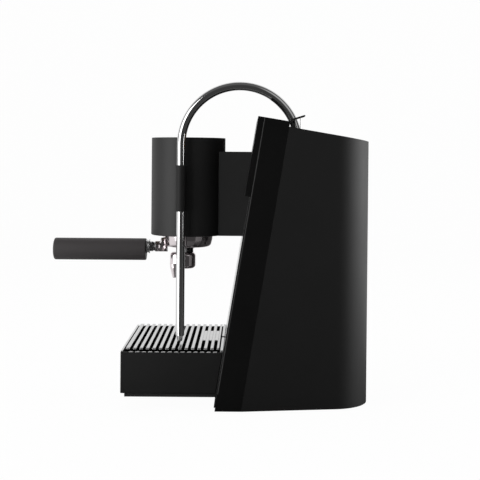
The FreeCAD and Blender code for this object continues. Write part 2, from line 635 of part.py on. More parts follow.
pad(holder_body, "stud", stud, "{stud_length}", back=True)
cup_inner = "({cup_radius} - {cup_wall})"
cup_hollow = polygon(holder_body, "cup_hollow", "XZ", [("0", f"{cup_bottom} + {{cup_floor}}"),
                                                       (f"{cup_inner} - {{cup_draft}}",
                                                        f"{cup_bottom} + {{cup_floor}}"),
                                                       (cup_inner, "{group_bottom}"),
                                                       (cup_inner, f"{cup_top} + {beyond}"),
                                                       ("0", f"{cup_top} + {beyond}")])
spin(holder_body, "cup_inside", cup_hollow, kind="Groove")
drain = circles(holder_body, "cup_drain", "XY", [("0", "0")], "{nut_radius} / 2",
                offset=f"{cup_bottom} + {{cup_floor}} + {{bore_lead}}")
pocket(holder_body, "cup_drain_cut", drain, "2 * {cup_floor}")
node("filter_holder", holder_body)

# Pod basket in the cup, with the gasket, screen and screw above it
basket_radius = "({cup_radius} - {cup_wall} - 2 * {fit})"
basket_floor = f"({cup_top} - {{basket_depth}})"
basket_corners = [("0", basket_floor), (f"{basket_radius} - {{cup_draft}}", basket_floor),
                  (f"{basket_radius}", cup_top), ("{cup_radius} - {basket_lip}", cup_top),
                  ("{cup_radius} - {basket_lip}", f"{cup_top} + {{basket_wall}}"),
                  (f"{basket_radius} - {{basket_wall}}", f"{cup_top} + {{basket_wall}}"),
                  (f"{basket_radius} - {{basket_wall}} - {{cup_draft}}",
                   f"{basket_floor} + {{basket_wall}}"), ("0", f"{basket_floor} + {{basket_wall}}")]
node("pod_basket", turned("pod_basket", basket_corners))
gasket_bottom = f"({cup_top} + {{basket_wall}} + {{seat_gap}})"
gasket_outer = "({cup_radius} + {fit})"
node("group_gasket", turned("group_gasket", [(f"{gasket_outer} - {{gasket_width}}", gasket_bottom),
                                             (gasket_outer, gasket_bottom),
                                             (gasket_outer, boiler_bottom),
                                             (f"{gasket_outer} - {{gasket_width}}", boiler_bottom)]))
screen_bottom = f"({gasket_bottom} + {{screen_thick}})"
node("shower_screen", turned("shower_screen", [
    ("{screw_radius} / 2 + {fit}", screen_bottom), ("{screen_radius}", screen_bottom),
    ("{screen_radius}", boiler_bottom),
    ("{screen_radius} - {screen_thick}", boiler_bottom), ("{screen_radius} - {screen_thick}",
                                                          f"{screen_bottom} + {{screen_thick}}"),
    ("{screw_radius} / 2 + {fit}", f"{screen_bottom} + {{screen_thick}}")]))
node("screen_screw", turned("screen_screw", [
    ("0", f"{screen_bottom} - {{screw_head}}"), ("{screw_radius}", f"{screen_bottom} - {{screw_head}}"),
    ("{screw_radius}", screen_bottom),
    ("{screw_radius} / 2", screen_bottom), ("{screw_radius} / 2", boiler_bottom), ("0", boiler_bottom)]))

# Handle grip and ferrule on the stud
forward = FreeCAD.Vector(-1, 0, 0)
stud_bore = cylinder("stud_bore", "{stud_radius} + {seat_gap}", "{stud_length} + {fit}",
                     f"{group_x} - {rod_end}", "0", "{rod_height}", along=forward)
ferrule_disc = cylinder("ferrule_disc", "{ferrule_radius}", "{ferrule_length}", f"{group_x} - {rod_end}",
                        "0", "{rod_height}", along=forward)
node("handle_ferrule", cut("handle_ferrule", ferrule_disc, stud_bore))
grip_bar = cylinder("grip_bar", "{handle_radius}", "{handle_length}",
                    f"{group_x} - {rod_end} - {{ferrule_length}}", "0", "{handle_height}", along=forward)
doc.recompute()
grip_round = doc.addObject("Part::Fillet", "grip_round")
grip_round.Base = grip_bar
grip_round.Edges = [(index, number("{handle_round}"), number("{handle_round}")) for index,
                    edge in enumerate(grip_bar.Shape.Edges, start=1)
                    if edge.Curve.TypeId == "Part::GeomCircle"]
node("handle_grip", cut("handle_grip", grip_round, stud_bore))

# Spout under the cup: a bent casting with two outlets
spout_bore = cylinder("nut_bore", "{nut_radius} / 2", "{front_height}", group_x, "0",
                      f"{cup_bottom} - {{front_height}} + {{cup_floor}}")
nut_disc = cylinder("nut_disc", "{nut_radius}", "{nut_height}", group_x, "0", spout_top)
node("spout_nut", cut("spout_nut", nut_disc, spout_bore))
outlet_x = "(-{spout_ahead} + {outlet_radius} + {spout_skin})"
outlet_bottom = f"({spout_bottom} - {{outlet_drop}})"
spout_body = new_body("spout_cast")
spout_outline = polygon(spout_body, "spout_outline", "XZ", [
    ("{spout_behind}", spout_top), ("{spout_behind}", spout_bottom),
    (f"{outlet_x} + {{outlet_radius}} + {{spout_step}}", spout_bottom),
    (f"{outlet_x} + {{outlet_radius}}", outlet_bottom),
    (f"{outlet_x} - {{outlet_radius}} + {{spout_skin}}",
                                                         outlet_bottom),
    ("-{spout_ahead}", f"{spout_bottom} + {{spout_step}}"),
    ("-{spout_ahead}", f"{spout_top} - {{outlet_radius}}"),
    ("-{nut_radius} - {spout_shoulder}", spout_top)])
pad(spout_body, "spout_block", spout_outline, "{spout_width}", both=True)
dress(spout_body, "Fillet", "spout_heel", "{outlet_radius} + {spout_skin}",
      lambda edge: abs(edge.CenterOfMass.z - number(spout_bottom)) < closeness
      and abs(edge.CenterOfMass.x - number("{spout_behind}")) < closeness)
spout_gap = rectangle(spout_body, "spout_gap", "YZ", "-{outlet_spread} / 2 + {outlet_radius}",
                      "{outlet_spread} / 2 - {outlet_radius}",
                      f"{outlet_bottom} - {beyond}", f"{spout_bottom} + {{spout_step}}",
                      offset="-2 * {spout_ahead}")
pocket(spout_body, "spout_gap_cut", spout_gap, "4 * {spout_ahead}", back=True)
bores = circles(spout_body, "outlet_bores", "XY", [(outlet_x, "-{outlet_spread} / 2 - {spout_skin}"),
                                                   (outlet_x, "{outlet_spread} / 2 + {spout_skin}")],
                "{outlet_radius} - {spout_step}",
                offset=f"{outlet_bottom} + {{outlet_drop}} + {{spout_step}}")
pocket(spout_body, "outlet_bores_cut", bores, "2 * {outlet_drop}")
for edge_name, size, test in (("spout_sides", "{outlet_radius} - {spout_skin}",
                               lambda edge: upright(edge) and edge.CenterOfMass.z > number(spout_bottom)),):
    dress(spout_body, "Fillet", edge_name, size, test)
place(spout_body, group_x)
node("spout", spout_body)

# Tray carrier: a shelf that stands out from the front plate
tray_half = "({tray_width} / 2)"
carrier_body = new_body("tray_carrier")
carrier_outline = polygon(carrier_body, "carrier_outline", "XZ", [
    (f"{tray_nose} + {{carrier_inset}}", carrier_bottom), (front_at(carrier_bottom, "{front_sheet}"),
                                                           carrier_bottom),
    (front_at("{tray_bottom} - {seat_gap}", "{front_sheet}"), "{tray_bottom} - {seat_gap}"),
    (f"{tray_nose} + {{carrier_inset}}", "{tray_bottom} - {seat_gap}")])
pad(carrier_body, "carrier_shelf", carrier_outline, "{tray_width} - 2 * {carrier_inset}", both=True)
node("tray_carrier", carrier_body)

# Drip tray with ledges for the grill
tray_back = "({front_sheet} + {fit})"
tray_body = new_body("drip_tray")
tray_outline = polygon(tray_body, "tray_outline", "XZ", [
    (tray_nose, "{tray_bottom}"), (front_at("{tray_bottom}", tray_back), "{tray_bottom}"),
    (front_at("{tray_rim}", tray_back), "{tray_rim}"), (tray_nose, "{tray_rim}")])
pad(tray_body, "tray_block", tray_outline, "{tray_width}", both=True)
dress(tray_body, "Fillet", "tray_corners", "{tray_wall} / 2",
      lambda edge: upright(edge) and edge.CenterOfMass.x < number(tray_nose) + 1)
tray_floor = "({tray_bottom} + {tray_wall})"
tray_inner_back = "({front_sheet} + {fit} + {tray_wall})"
tray_hollow = polygon(tray_body, "tray_hollow", "XZ", [
    (f"{tray_nose} + {{tray_wall}}", tray_floor), (front_at(tray_floor, tray_inner_back), tray_floor),
    (front_at(f"{{tray_rim}} + {beyond}", tray_inner_back), f"{{tray_rim}} + {beyond}"),
    (f"{tray_nose} + {{tray_wall}}", f"{{tray_rim}} + {beyond}")])
pocket(tray_body, "tray_inside", tray_hollow, "{tray_width} - 2 * {tray_wall}", both=True)
fold_bottom = "({grill_top} - {grill_fold})"
ledge_inner = f"({tray_half} - {{tray_wall}} - {{ledge}})"
for name, low, high in (("near_ledge", f"-{tray_half} + {{tray_wall}} / 2", f"-{ledge_inner}"),
                        ("far_ledge", ledge_inner, f"{tray_half} - {{tray_wall}} / 2")):
    ledge_outline = rectangle(tray_body, f"{name}_outline", "XY", f"{tray_nose} + {{tray_wall}} / 2",
                              front_at(fold_bottom, f"{tray_back} + {{tray_wall}} / 2"),
                              low, high, offset=f"{fold_bottom} - {{ledge}}")
    pad(tray_body, name, ledge_outline, "{ledge}")
node("drip_tray", tray_body)

# Grill: a folded sheet whose slots wrap over its folded edges
grill_half = "({grill_width} / 2)"
grill_front = f"({tray_nose} + {{tray_wall}} + {{fit}})"
grill_rear = f"({front_at(fold_bottom, tray_inner_back)} - {{fit}})"
slot_first = f"({grill_front} + {{slot_width}} + {{bar_pitch}} / 2)"
under_sheet = "({grill_top} - {grill_sheet})"
grill_body = new_body("drip_grill")
grill_outline = polygon(grill_body, "grill_outline", "YZ", [
    (f"-{grill_half}", fold_bottom), (f"-{grill_half}", "{grill_top}"), (grill_half, "{grill_top}"),
    (grill_half, fold_bottom),
    (f"{grill_half} - {{grill_sheet}}", fold_bottom), (f"{grill_half} - {{grill_sheet}}", under_sheet),
    (f"-{grill_half} + {{grill_sheet}}", under_sheet), (f"-{grill_half} + {{grill_sheet}}",
                                                        fold_bottom)], offset=grill_front)
pad(grill_body, "grill_sheet_fold", grill_outline, f"{grill_rear} - {grill_front}")
slot_outline = rectangle(grill_body, "slot_outline", "XY", f"{slot_first} - {{slot_width}} / 2",
                         f"{slot_first} + {{slot_width}} / 2",
                         f"-{grill_half} - {beyond}", f"{grill_half} + {beyond}", offset="{grill_top}")
slot_cut = pocket(grill_body, "grill_slot", slot_outline, "{slot_depth}")
slots = grill_body.newObject("PartDesign::LinearPattern", "grill_slots")
slots.Originals = [slot_cut]
slots.Direction = (slot_outline, ["H_Axis"])
bind(slots, Length="{bar_pitch} * ({slot_count} - 1)", Occurrences="{slot_count}")
grill_body.Tip = slots
doc.recompute()
patch_rear = f"({slot_first} + {{bar_pitch}} * ({{slot_count}} - 1) + {{bar_pitch}} / 2)"
patch_outline = rectangle(grill_body, "patch_outline", "XY",
                          f"{patch_rear} - {{patch_length}} - {{bar_pitch}}", patch_rear,
                          "-{patch_width} / 2", "{patch_width} / 2", offset=under_sheet)
pad(grill_body, "grill_patch", patch_outline, "{grill_sheet}")
finger_outline = circles(grill_body, "finger_outline", "XY", [(patch_rear, "0")], "{finger_radius}",
                         offset="{grill_top}")
pocket(grill_body, "finger_notch", finger_outline, "2 * {grill_sheet}")
node("drip_grill", grill_body)

# Steam pipe: a root, a half-round bend and a long leg, with its sleeve and nozzle
pipe_foot = "({valve_top} - {pipe_socket})"
bend_centre_x = "({steam_root} - {bend_radius})"
bend_centre_z = "({bend_top} - {bend_radius})"
leg_x = "({steam_root} - 2 * {bend_radius})"
leg_bottom = "({nozzle_end} + {nozzle_length})"


def pipe_form(name, radius, overrun):
    bend = doc.addObject("Part::Torus", f"{name}_bend")
    bind(bend, Radius1="{bend_radius}", Radius2=radius, Angle3="180")
    bend.Placement = FreeCAD.Placement(FreeCAD.Vector(), FreeCAD.Rotation(FreeCAD.Vector(1, 0, 0), 90))
    place(bend, bend_centre_x, steam_y, bend_centre_z)
    root = cylinder(f"{name}_root", radius, f"{bend_centre_z} - {pipe_foot} + {overrun}", "{steam_root}",
                    steam_y, f"{pipe_foot} - {overrun}")
    leg = cylinder(f"{name}_leg", radius, f"{bend_centre_z} - {leg_bottom} + {overrun}", leg_x, steam_y,
                   f"{leg_bottom} - {overrun}")
    return join(name, bend, root, leg)


node("steam_pipe", cut("steam_pipe", pipe_form("pipe_outer", "{pipe_radius}", "0"),
                       pipe_form("pipe_inner", "{pipe_bore}", beyond)))
sleeve_tube = cylinder("sleeve_tube", "{sleeve_radius}", "{sleeve_length}", leg_x, steam_y,
                       "{sleeve_bottom}")
sleeve_bore = cylinder("sleeve_bore", "{pipe_radius} + {running_fit}",
                       f"{{sleeve_length}} + 2 * {beyond}", leg_x,
                       steam_y, f"{{sleeve_bottom}} - {beyond}")
node("grip_sleeve", cut("grip_sleeve", sleeve_tube, sleeve_bore))
nozzle_cone = doc.addObject("Part::Cone", "nozzle_cone")
bind(nozzle_cone, Radius1="{nozzle_tip}", Radius2="{pipe_radius}", Height="{nozzle_length}")
place(nozzle_cone, leg_x, steam_y, "{nozzle_end}")
nozzle_bore = cylinder("nozzle_bore", "{nozzle_tip} / 3", "2 * {nozzle_length}", leg_x, steam_y,
                       f"{{nozzle_end}} - {{nozzle_length}} / 2")
node("steam_nozzle", cut("steam_nozzle", nozzle_cone, nozzle_bore))

# Steam valve under the deck, its gland and its stem
valve_centre_y = f"({steam_y} - ({{lever_offset}} - {{steam_offset}}) / 2 + {{stem_radius}})"
valve_near = f"({valve_centre_y} - {{valve_length}} / 2)"
valve_far = f"({valve_centre_y} + {{valve_length}} / 2)"
valve_block = block("valve_block", "{steam_root} - {valve_width} / 2",
                    "{steam_root} + {valve_width} / 2", valve_near, valve_far,
                    "{valve_top} - {valve_height}", "{valve_top}")
pipe_bore = cylinder("pipe_socket_bore", "{pipe_radius} + {running_fit}", "{front_height}",
                     "{steam_root}", steam_y, pipe_foot)
stem_travel = "({stem_reach} * (tan({lever_rise}) - tan({lever_rise} - {lever_throw})))"
stem_foot = "({valve_top} - {pipe_socket})"
stem_bore = cylinder("stem_bore", "{stem_radius} + {running_fit}", "{front_height}", stem_x, lever_y,
                     f"{stem_foot} - {stem_travel} - {{fit}}")
node("steam_valve", cut("steam_valve", valve_block, pipe_bore, stem_bore))
gland_rod = cylinder("gland_rod", "{gland_radius}",
                     f"{deck_at('{steam_root}')} + {{gland_height}} - {{valve_top}}", "{steam_root}",
                     steam_y, "{valve_top}")
gland_bore = cylinder("gland_bore", "{gland_bore}", "{front_height}", "{steam_root}", steam_y,
                      "{valve_top}")
node("steam_gland", cut("steam_gland", gland_rod, gland_bore))
half_paddle = "({lever_thick} / (2 * cos({lever_rise})))"
lever_under = f"({hinge_z} + {{stem_reach}} * tan({{lever_rise}}) - {half_paddle})"
stem_top = f"({lever_under} - {{stem_radius}} * (1 / cos({{lever_rise}}) - 1) - {{fit}})"
stem_rod = cylinder("stem_rod", "{stem_radius}", f"{stem_top} - {{stem_radius}} - {stem_foot}", stem_x,
                    lever_y, stem_foot)
stem_dome = doc.addObject("Part::Sphere", "stem_dome")
bind(stem_dome, Radius="{stem_radius}")
place(stem_dome, stem_x, lever_y, f"{stem_top} - {{stem_radius}}")
node("valve_stem", join("valve_stem", stem_rod, stem_dome))

# Steam lever on its pin, between two ears on the deck
lever_near = f"({lever_y} - {{lever_width}} / 2)"
lever_far = f"({lever_y} + {{lever_width}} / 2)"
lever_paddle = doc.addObject("Part::Box", "lever_paddle")
bind(lever_paddle, Length="{lever_length}", Width="{lever_width}", Height="{lever_thick}")
hinge_point = FreeCAD.Vector(number(hinge_x), number(lever_near), number(hinge_z))
lever_paddle.Placement = FreeCAD.Placement(hinge_point,
                                           FreeCAD.Rotation(across, -number("{lever_rise}"))).multiply(
    FreeCAD.Placement(FreeCAD.Vector(0, 0, -number("{lever_thick}") / 2), FreeCAD.Rotation()))
lever_knuckle = cylinder("lever_knuckle", "{knuckle_radius}", "{lever_width}", hinge_x, lever_near,
                         hinge_z, along=across)
ear_near = f"({lever_near} - {{fit}} - {{ear_thick}})"
ear_far = f"({lever_far} + {{fit}} + {{ear_thick}})"
lever_pin_bore = cylinder("lever_pin_bore", "{pin_radius} + {running_fit}",
                          f"{ear_far} - {ear_near} + 2 * {beyond}", hinge_x, f"{ear_near} - {beyond}",
                          hinge_z, along=across)
node("steam_lever", cut("steam_lever", join("lever_whole", lever_paddle, lever_knuckle), lever_pin_bore))
node("lever_pin", cylinder("lever_pin", "{pin_radius}", f"{ear_far} - {ear_near}", hinge_x, ear_near,
                           hinge_z, along=across))
ear_half = "({hinge_gap} - {fit})"
under_deck = lean_block("under_deck", "-{base_depth}", "2 * {base_depth}", "-{housing_width}",
                        "{housing_width}", "-{front_height}", "-{top_step}")
ears = []
for name, low, high in (("near_ear", ear_near, f"{lever_near} - {{fit}}"),
                        ("far_ear", f"{lever_far} + {{fit}}", ear_far)):
    ear_block = block(f"{name}_block", f"{hinge_x} - {ear_half} + 2 * {{fit}}",
                      f"{hinge_x} + {ear_half}", low, high, f"{hinge_z} - 2 * {{hinge_rise}}",
                      f"{hinge_z} + {{knuckle_radius}}")
    ears.append(cut(f"{name}_seated", ear_block, under_deck, lever_pin_bore))
node("lever_ears", group_of("lever_ears", ears))

# Water tank on its seat
seat_half = "({tank_width} / 2)"
node("tank_seat", block("tank_seat", tank_front, "{tank_rear}", f"-{seat_half}", seat_half, base_top,
                        seat_top))
tank_body = new_body("water_tank")
tank_outline = rectangle(tank_body, "tank_outline", "XY", tank_front, "{tank_rear}", f"-{seat_half}",
                         seat_half, offset=seat_top)
pad(tank_body, "tank_block", tank_outline, f"{{tank_top}} - {seat_top}")
dress(tank_body, "Fillet", "tank_corners", "{tank_round}", upright)
tank_hollow = rectangle(tank_body, "tank_hollow", "XY", f"{tank_front} + {{tank_wall}}",
                        "{tank_rear} - {tank_wall}", f"-{seat_half} + {{tank_wall}}",
                        f"{seat_half} - {{tank_wall}}", offset="{tank_top}")
pocket(tank_body, "tank_inside", tank_hollow, f"{{tank_top}} - {seat_top} - {{tank_wall}}")
node("water_tank", tank_body)

# Pump on two saddles, with its unions
rearward = FreeCAD.Vector(1, 0, 0)
pump_drum = cylinder("pump_drum", "{pump_radius}", "{pump_length}", "{pump_front}", "{water_side}",
                     "{pump_centre}", along=rearward)
pump_rear = "({pump_front} + {pump_length})"
pump_inlet = cylinder("pump_inlet", "{hose_radius}", "{stub_length}", pump_rear, "{water_side}",
                      "{pump_centre}", along=rearward)
outlet_at = "({pump_front} + {outlet_inset})"
pump_outlet = cylinder("pump_outlet", "{hose_radius}", "{pump_radius} + {stub_length}", outlet_at,
                       "{water_side}", "{pump_centre}")
node("pump", join("pump", pump_drum, pump_inlet, pump_outlet))
saddles = []
for name, x in (("front_saddle", outlet_at), ("rear_saddle", f"{pump_rear} - {{outlet_inset}}")):
    saddle_block = block(f"{name}_block", f"{x} - {{mount_thick}} / 2", f"{x} + {{mount_thick}} / 2",
                         "{water_side} - {pump_radius} + {mount_inset}",
                         "{water_side} + {pump_radius} - {mount_inset}", base_top,
                         "{pump_centre} - {pump_radius} / 2")
    drum_clearance = cylinder(f"{name}_clearance", "{pump_radius} + {seat_gap}",
                              f"{{pump_length}} + 2 * {beyond}",
                              f"{{pump_front}} - {beyond}", "{water_side}", "{pump_centre}",
                              along=rearward)
    saddles.append(cut(f"{name}_cut", saddle_block, drum_clearance))
node("pump_saddles", group_of("pump_saddles", saddles))


# Hoses: straight runs joined by tangent arcs
def route_wire(points, bend):
    edges = []
    start = points[0]
    for before, corner, after in zip(points, points[1:], points[2:]):
        inward = (corner - before).normalize()
        outward = (after - corner).normalize()
        half_turn = inward.getAngle(outward) / 2
        reach = bend * math.tan(half_turn)
        first = corner - inward * reach
        last = corner + outward * reach
        toward = (outward - inward).normalize()
        middle = corner + toward * (bend / math.cos(half_turn) - bend)
        edges.append(Part.makeLine(start, first))
        edges.append(Part.Arc(first, middle, last).toShape())
        start = last
    edges.append(Part.makeLine(start, points[-1]))
    return Part.Wire(edges)


def hose(name, points):
    path = [FreeCAD.Vector(*[number(text) for text in point]) for point in points]
    wire = route_wire(path, number("{hose_bend}"))
    rings = []
    for radius in ("{hose_radius}", "{hose_bore}"):
        ring = Part.Wire(Part.makeCircle(number(radius), path[0], (path[1] - path[0]).normalize()))
        rings.append(wire.makePipeShell([ring], True, False))
    item = doc.addObject("Part::Feature", name)
    item.Shape = rings[0].cut(rings[1])
    item.Placement = FreeCAD.Placement()
    return node(name, item)


hose("suction_hose", [(f"{pump_rear} + {{stub_length}}", "{water_side}", "{pump_centre}"),
                      (tank_front, "{water_side}", "{pump_centre}")])
riser_top_x = f"({outlet_at} + ({{water_height}} - {{hose_rise}}) * {rise})"
hose("pressure_hose", [(outlet_at, "{water_side}", "{pump_centre} + {pump_radius} + {stub_length}"),
                       (outlet_at, "{water_side}", "{hose_rise}"),
                       (riser_top_x, "{water_side}", "{water_height}"), (union_end, "{water_side}",
                               "{water_height}")])
hose("steam_line", [(union_end, "-{water_side}", "{steam_height}"), ("{steam_root}", "-{water_side}",
        "{steam_height}"),
                    ("{steam_root}", valve_far, "{steam_height}")])

# Test every object, then write one file per node
doc.recompute()
for item in doc.Objects:
    if any(state in ("Invalid", "Error") for state in item.State):
        raise RuntimeError(f"{item.Name} failed: {item.State}")
for name, item in nodes.items():
    if item.Shape.isNull() or not item.Shape.isValid() or item.Shape.Volume <= 0:
        raise RuntimeError(f"{name} has no valid shape")
os.makedirs("parts", exist_ok=True)
for name, item in nodes.items():
    item.Shape.exportStep(f"parts/{name}.step")
    print(name, len(item.Shape.Solids), round(item.Shape.Volume / 1000, 1))
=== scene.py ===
import json
import math

import bmesh
import bpy
from mathutils import Matrix, Vector


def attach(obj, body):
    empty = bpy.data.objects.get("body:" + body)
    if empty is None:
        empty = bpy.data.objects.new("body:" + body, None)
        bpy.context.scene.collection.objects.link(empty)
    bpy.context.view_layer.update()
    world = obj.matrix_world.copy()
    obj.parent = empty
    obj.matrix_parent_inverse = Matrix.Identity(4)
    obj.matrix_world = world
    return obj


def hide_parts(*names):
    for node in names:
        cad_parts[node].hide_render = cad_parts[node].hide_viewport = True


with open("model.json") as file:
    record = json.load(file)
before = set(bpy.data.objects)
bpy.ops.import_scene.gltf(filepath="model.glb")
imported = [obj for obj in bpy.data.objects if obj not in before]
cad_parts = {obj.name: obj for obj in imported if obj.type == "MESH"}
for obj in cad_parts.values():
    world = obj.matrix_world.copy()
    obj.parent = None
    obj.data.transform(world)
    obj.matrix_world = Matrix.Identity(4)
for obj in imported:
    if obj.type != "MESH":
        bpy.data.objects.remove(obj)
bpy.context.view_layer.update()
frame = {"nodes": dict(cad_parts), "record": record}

nodes = frame["nodes"]
scene = bpy.context.scene
mm = 0.001
print("frame loaded:", len(nodes), "nodes")


# node tools

def addNode(tree, kind, **settings):
    node = tree.nodes.new(kind)
    for label, value in settings.items():
        setattr(node, label, value)
    return node


def feed(tree, socket, item):       # a plain value is set, an output is linked
    if isinstance(item, (int, float, tuple)):
        socket.default_value = item
    else:
        tree.links.new(item, socket)


def mathNode(tree, operation, first, second):
    node = addNode(tree, "ShaderNodeMath", operation=operation)
    feed(tree, node.inputs[0], first)
    feed(tree, node.inputs[1], second)
    return node.outputs[0]


def brightest(tree, level, *others):
    for other in others:
        level = mathNode(tree, "MAXIMUM", level, other)
    return level


def noiseNode(tree, vector, scale, detail, roughness):
    node = addNode(tree, "ShaderNodeTexNoise")
    for label, item in (("Vector", vector), ("Scale", scale), ("Detail", detail), ("Roughness", roughness)):
        feed(tree, node.inputs[label], item)
    return node.outputs["Fac"]


def rampNode(tree, value, start=(0.0, 1.0), end=(0.0, 1.0), blend="SMOOTHSTEP"):
    node = addNode(tree, "ShaderNodeMapRange", interpolation_type=blend)
    for label, item in zip(("Value", "From Min", "From Max", "To Min", "To Max"), (value, *start, *end)):
        feed(tree, node.inputs[label], item)
    return node.outputs["Result"]


def mixNode(tree, factor, first, second):
    node = addNode(tree, "ShaderNodeMix", data_type="RGBA")
    for label, item in (("Factor", factor), ("A", first), ("B", second)):
        feed(tree, node.inputs[label], item)
    return node.outputs["Result"]


# shared node groups

groupOutputs = {"Height": "NodeSocketFloat", "Roughness": "NodeSocketFloat", "Color": "NodeSocketColor"}


def newGroup(name, inputs):
    group = bpy.data.node_groups.new(name, "ShaderNodeTree")
    for label, kind, value in inputs:
        socket = group.interface.new_socket(label, in_out="INPUT", socket_type=kind)
        socket.default_value = value
    for label, kind in groupOutputs.items():
        group.interface.new_socket(label, in_out="OUTPUT", socket_type=kind)
    return group, group.nodes.new("NodeGroupInput").outputs, group.nodes.new("NodeGroupOutput").inputs


def linkOutputs(group, source, sink, height, gloss, shade):
    rough = rampNode(group, gloss, end=(source["Rough Low"], source["Rough High"]), blend="LINEAR")
    color = mixNode(group, shade, source["Dark"], source["Light"])
    for label, item in (("Height", height), ("Roughness", rough), ("Color", color)):
        group.links.new(item, sink[label])


grainNoise = {"grainDetail": 3.0, "grainRough": 0.6, "cloudDetail": 4.0, "cloudRough": 0.55,
              "grainShare": 0.4, "cloudShare": 0.6}
lineNoise = {"detail": 4.0, "rough": 0.6}


def makeGrainGroup(p):       # orange-peel grain of a coat or a moulding, with cloudy gloss
    group, source, sink = newGroup("surfaceGrain", [
        ("Grain Scale", "NodeSocketFloat", 1500.0), ("Cloud Scale", "NodeSocketFloat", 18.0),
        ("Rough Low", "NodeSocketFloat", 0.4), ("Rough High", "NodeSocketFloat", 0.5),
        ("Dark", "NodeSocketColor", (0, 0, 0, 1)), ("Light", "NodeSocketColor", (1, 1, 1, 1))])
    coords = addNode(group, "ShaderNodeTexCoord").outputs["Object"]
    grain = noiseNode(group, coords, source["Grain Scale"], p["grainDetail"], p["grainRough"])
    cloud = noiseNode(group, coords, source["Cloud Scale"], p["cloudDetail"], p["cloudRough"])
    gloss = mathNode(group, "ADD", mathNode(group, "MULTIPLY", grain, p["grainShare"]),
                     mathNode(group, "MULTIPLY", cloud, p["cloudShare"]))
    linkOutputs(group, source, sink, grain, gloss, cloud)
    return group


def makeBrushGroup(p):       # fine lines drawn along one axis of a rolled or brushed sheet
    group, source, sink = newGroup("brushedLines", [
        ("Stretch", "NodeSocketVector", (1, 1, 1)), ("Line Scale", "NodeSocketFloat", 900.0),
        ("Rough Low", "NodeSocketFloat", 0.2), ("Rough High", "NodeSocketFloat", 0.35),
        ("Dark", "NodeSocketColor", (0.5, 0.5, 0.5, 1)), ("Light", "NodeSocketColor", (0.7, 0.7, 0.7, 1))])
    coords = addNode(group, "ShaderNodeTexCoord").outputs["Object"]
    drawn = addNode(group, "ShaderNodeVectorMath", operation="MULTIPLY")
    group.links.new(coords, drawn.inputs[0])
    group.links.new(source["Stretch"], drawn.inputs[1])
    lines = noiseNode(group, drawn.outputs[0], source["Line Scale"], p["detail"], p["rough"])
    linkOutputs(group, source, sink, lines, lines, lines)
    return group


grainGroup = makeGrainGroup(grainNoise)
brushGroup = makeBrushGroup(lineNoise)
print("node groups built")


# finishes: dark and light shade, low and high roughness; a stretch makes it a brushed one
finishes = {
    "casingPaint": {"shades": (0.0012, 0.0020), "rough": (0.50, 0.58), "bump": 0.10, "specular": 0.5},
    "nutBlack": {"shades": (0.006, 0.009), "rough": (0.22, 0.3), "bump": 0.05},
    # a darker copy of the cup's chrome: painted shade for the dark surroundings the neck mirrors
    "neckChromeShaded": {"shades": (0.26, 0.32), "rough": (0.05, 0.09), "bump": 0.02, "grain": 400.0,
                   "metallic": 1.0},
    # pale grey strip colour: a painted highlight along the casing's front edges
    "paintedEdgeHighlight": {"shades": (0.030, 0.042), "rough": (0.42, 0.52), "bump": 0.06},
    "bandPaint": {"shades": (0.0020, 0.0028), "rough": (0.32, 0.38), "bump": 0.08, "specular": 0.27},
    "groupPaint": {"shades": (0.0036, 0.0046), "rough": (0.54, 0.60), "bump": 0.10, "specular": 0.56},
    "armPaint": {"shades": (0.0085, 0.0105), "rough": (0.46, 0.54), "bump": 0.12, "specular": 0.45},
    "panelPlastic": {"shades": (0.006, 0.008), "rough": (0.42, 0.52), "bump": 0.16, "specular": 0.4},
    "trayPlastic": {"shades": (0.0044, 0.006), "rough": (0.42, 0.55), "bump": 0.16, "specular": 0.35},
    "gripPlastic": {"shades": (0.037, 0.042), "tint": (1.08, 0.98, 1.0), "rough": (0.48, 0.6), "bump": 0.2,
                    "grain": 1100.0, "specular": 0.3},
    "sleeveRubber": {"shades": (0.006, 0.009), "rough": (0.55, 0.68), "bump": 0.25, "grain": 900.0,
                     "specular": 0.3},
    "softRubber": {"shades": (0.012, 0.018), "rough": (0.6, 0.75), "bump": 0.3, "grain": 800.0},
    "buttonPlastic": {"shades": (0.012, 0.016), "rough": (0.28, 0.36), "bump": 0.08},
    "lampLens": {"shades": ((0.5, 0.22, 0.04), (0.6, 0.3, 0.06)), "rough": (0.12, 0.2), "bump": 0.05},
    "basePlastic": {"shades": (0.01, 0.014), "rough": (0.5, 0.6), "bump": 0.2},
    "boardLaminate": {"shades": ((0.015, 0.07, 0.03), (0.02, 0.09, 0.04)), "rough": (0.4, 0.5), "bump": 0.1},
    "pumpShell": {"shades": (0.3, 0.36), "rough": (0.45, 0.55), "bump": 0.15},
    "tankClear": {"shades": (0.16, 0.2), "rough": (0.12, 0.2), "bump": 0.05, "transmission": 0.5},
    "turnedBrass": {"shades": ((0.34, 0.31, 0.26), (0.4, 0.36, 0.3)), "rough": (0.3, 0.4), "bump": 0.1,
                    "metallic": 1.0},
    "boilerAlloy": {"shades": (0.42, 0.52), "rough": (0.4, 0.55), "bump": 0.3, "grain": 700.0,
                    "metallic": 1.0},
    "pipeChrome": {"shades": (0.62, 0.66), "rough": (0.05, 0.09), "bump": 0.02, "grain": 300.0,
                   "metallic": 1.0},
    "cupChrome": {"shades": (0.62, 0.68), "tint": (1.06, 0.98, 1.0), "rough": (0.07, 0.13), "bump": 0.03,
                  "grain": 400.0, "metallic": 1.0},
    "brightSteel": {"shades": (0.5, 0.6), "rough": (0.2, 0.32), "bump": 0.1, "stretch": (1, 1, 1),
                    "metallic": 1.0},
    "grillSteel": {"shades": (0.6, 0.72), "rough": (0.28, 0.42), "bump": 0.12, "stretch": (1, 0.03, 1),
                   "metallic": 1.0},
    "frontSteel": {"shades": (0.012, 0.018), "rough": (0.10, 0.18), "bump": 0.05, "stretch": (1, 0.03, 1)},
}
relief = {"grain": 0.0001, "lines": 0.00005}        # height of the bump in metres
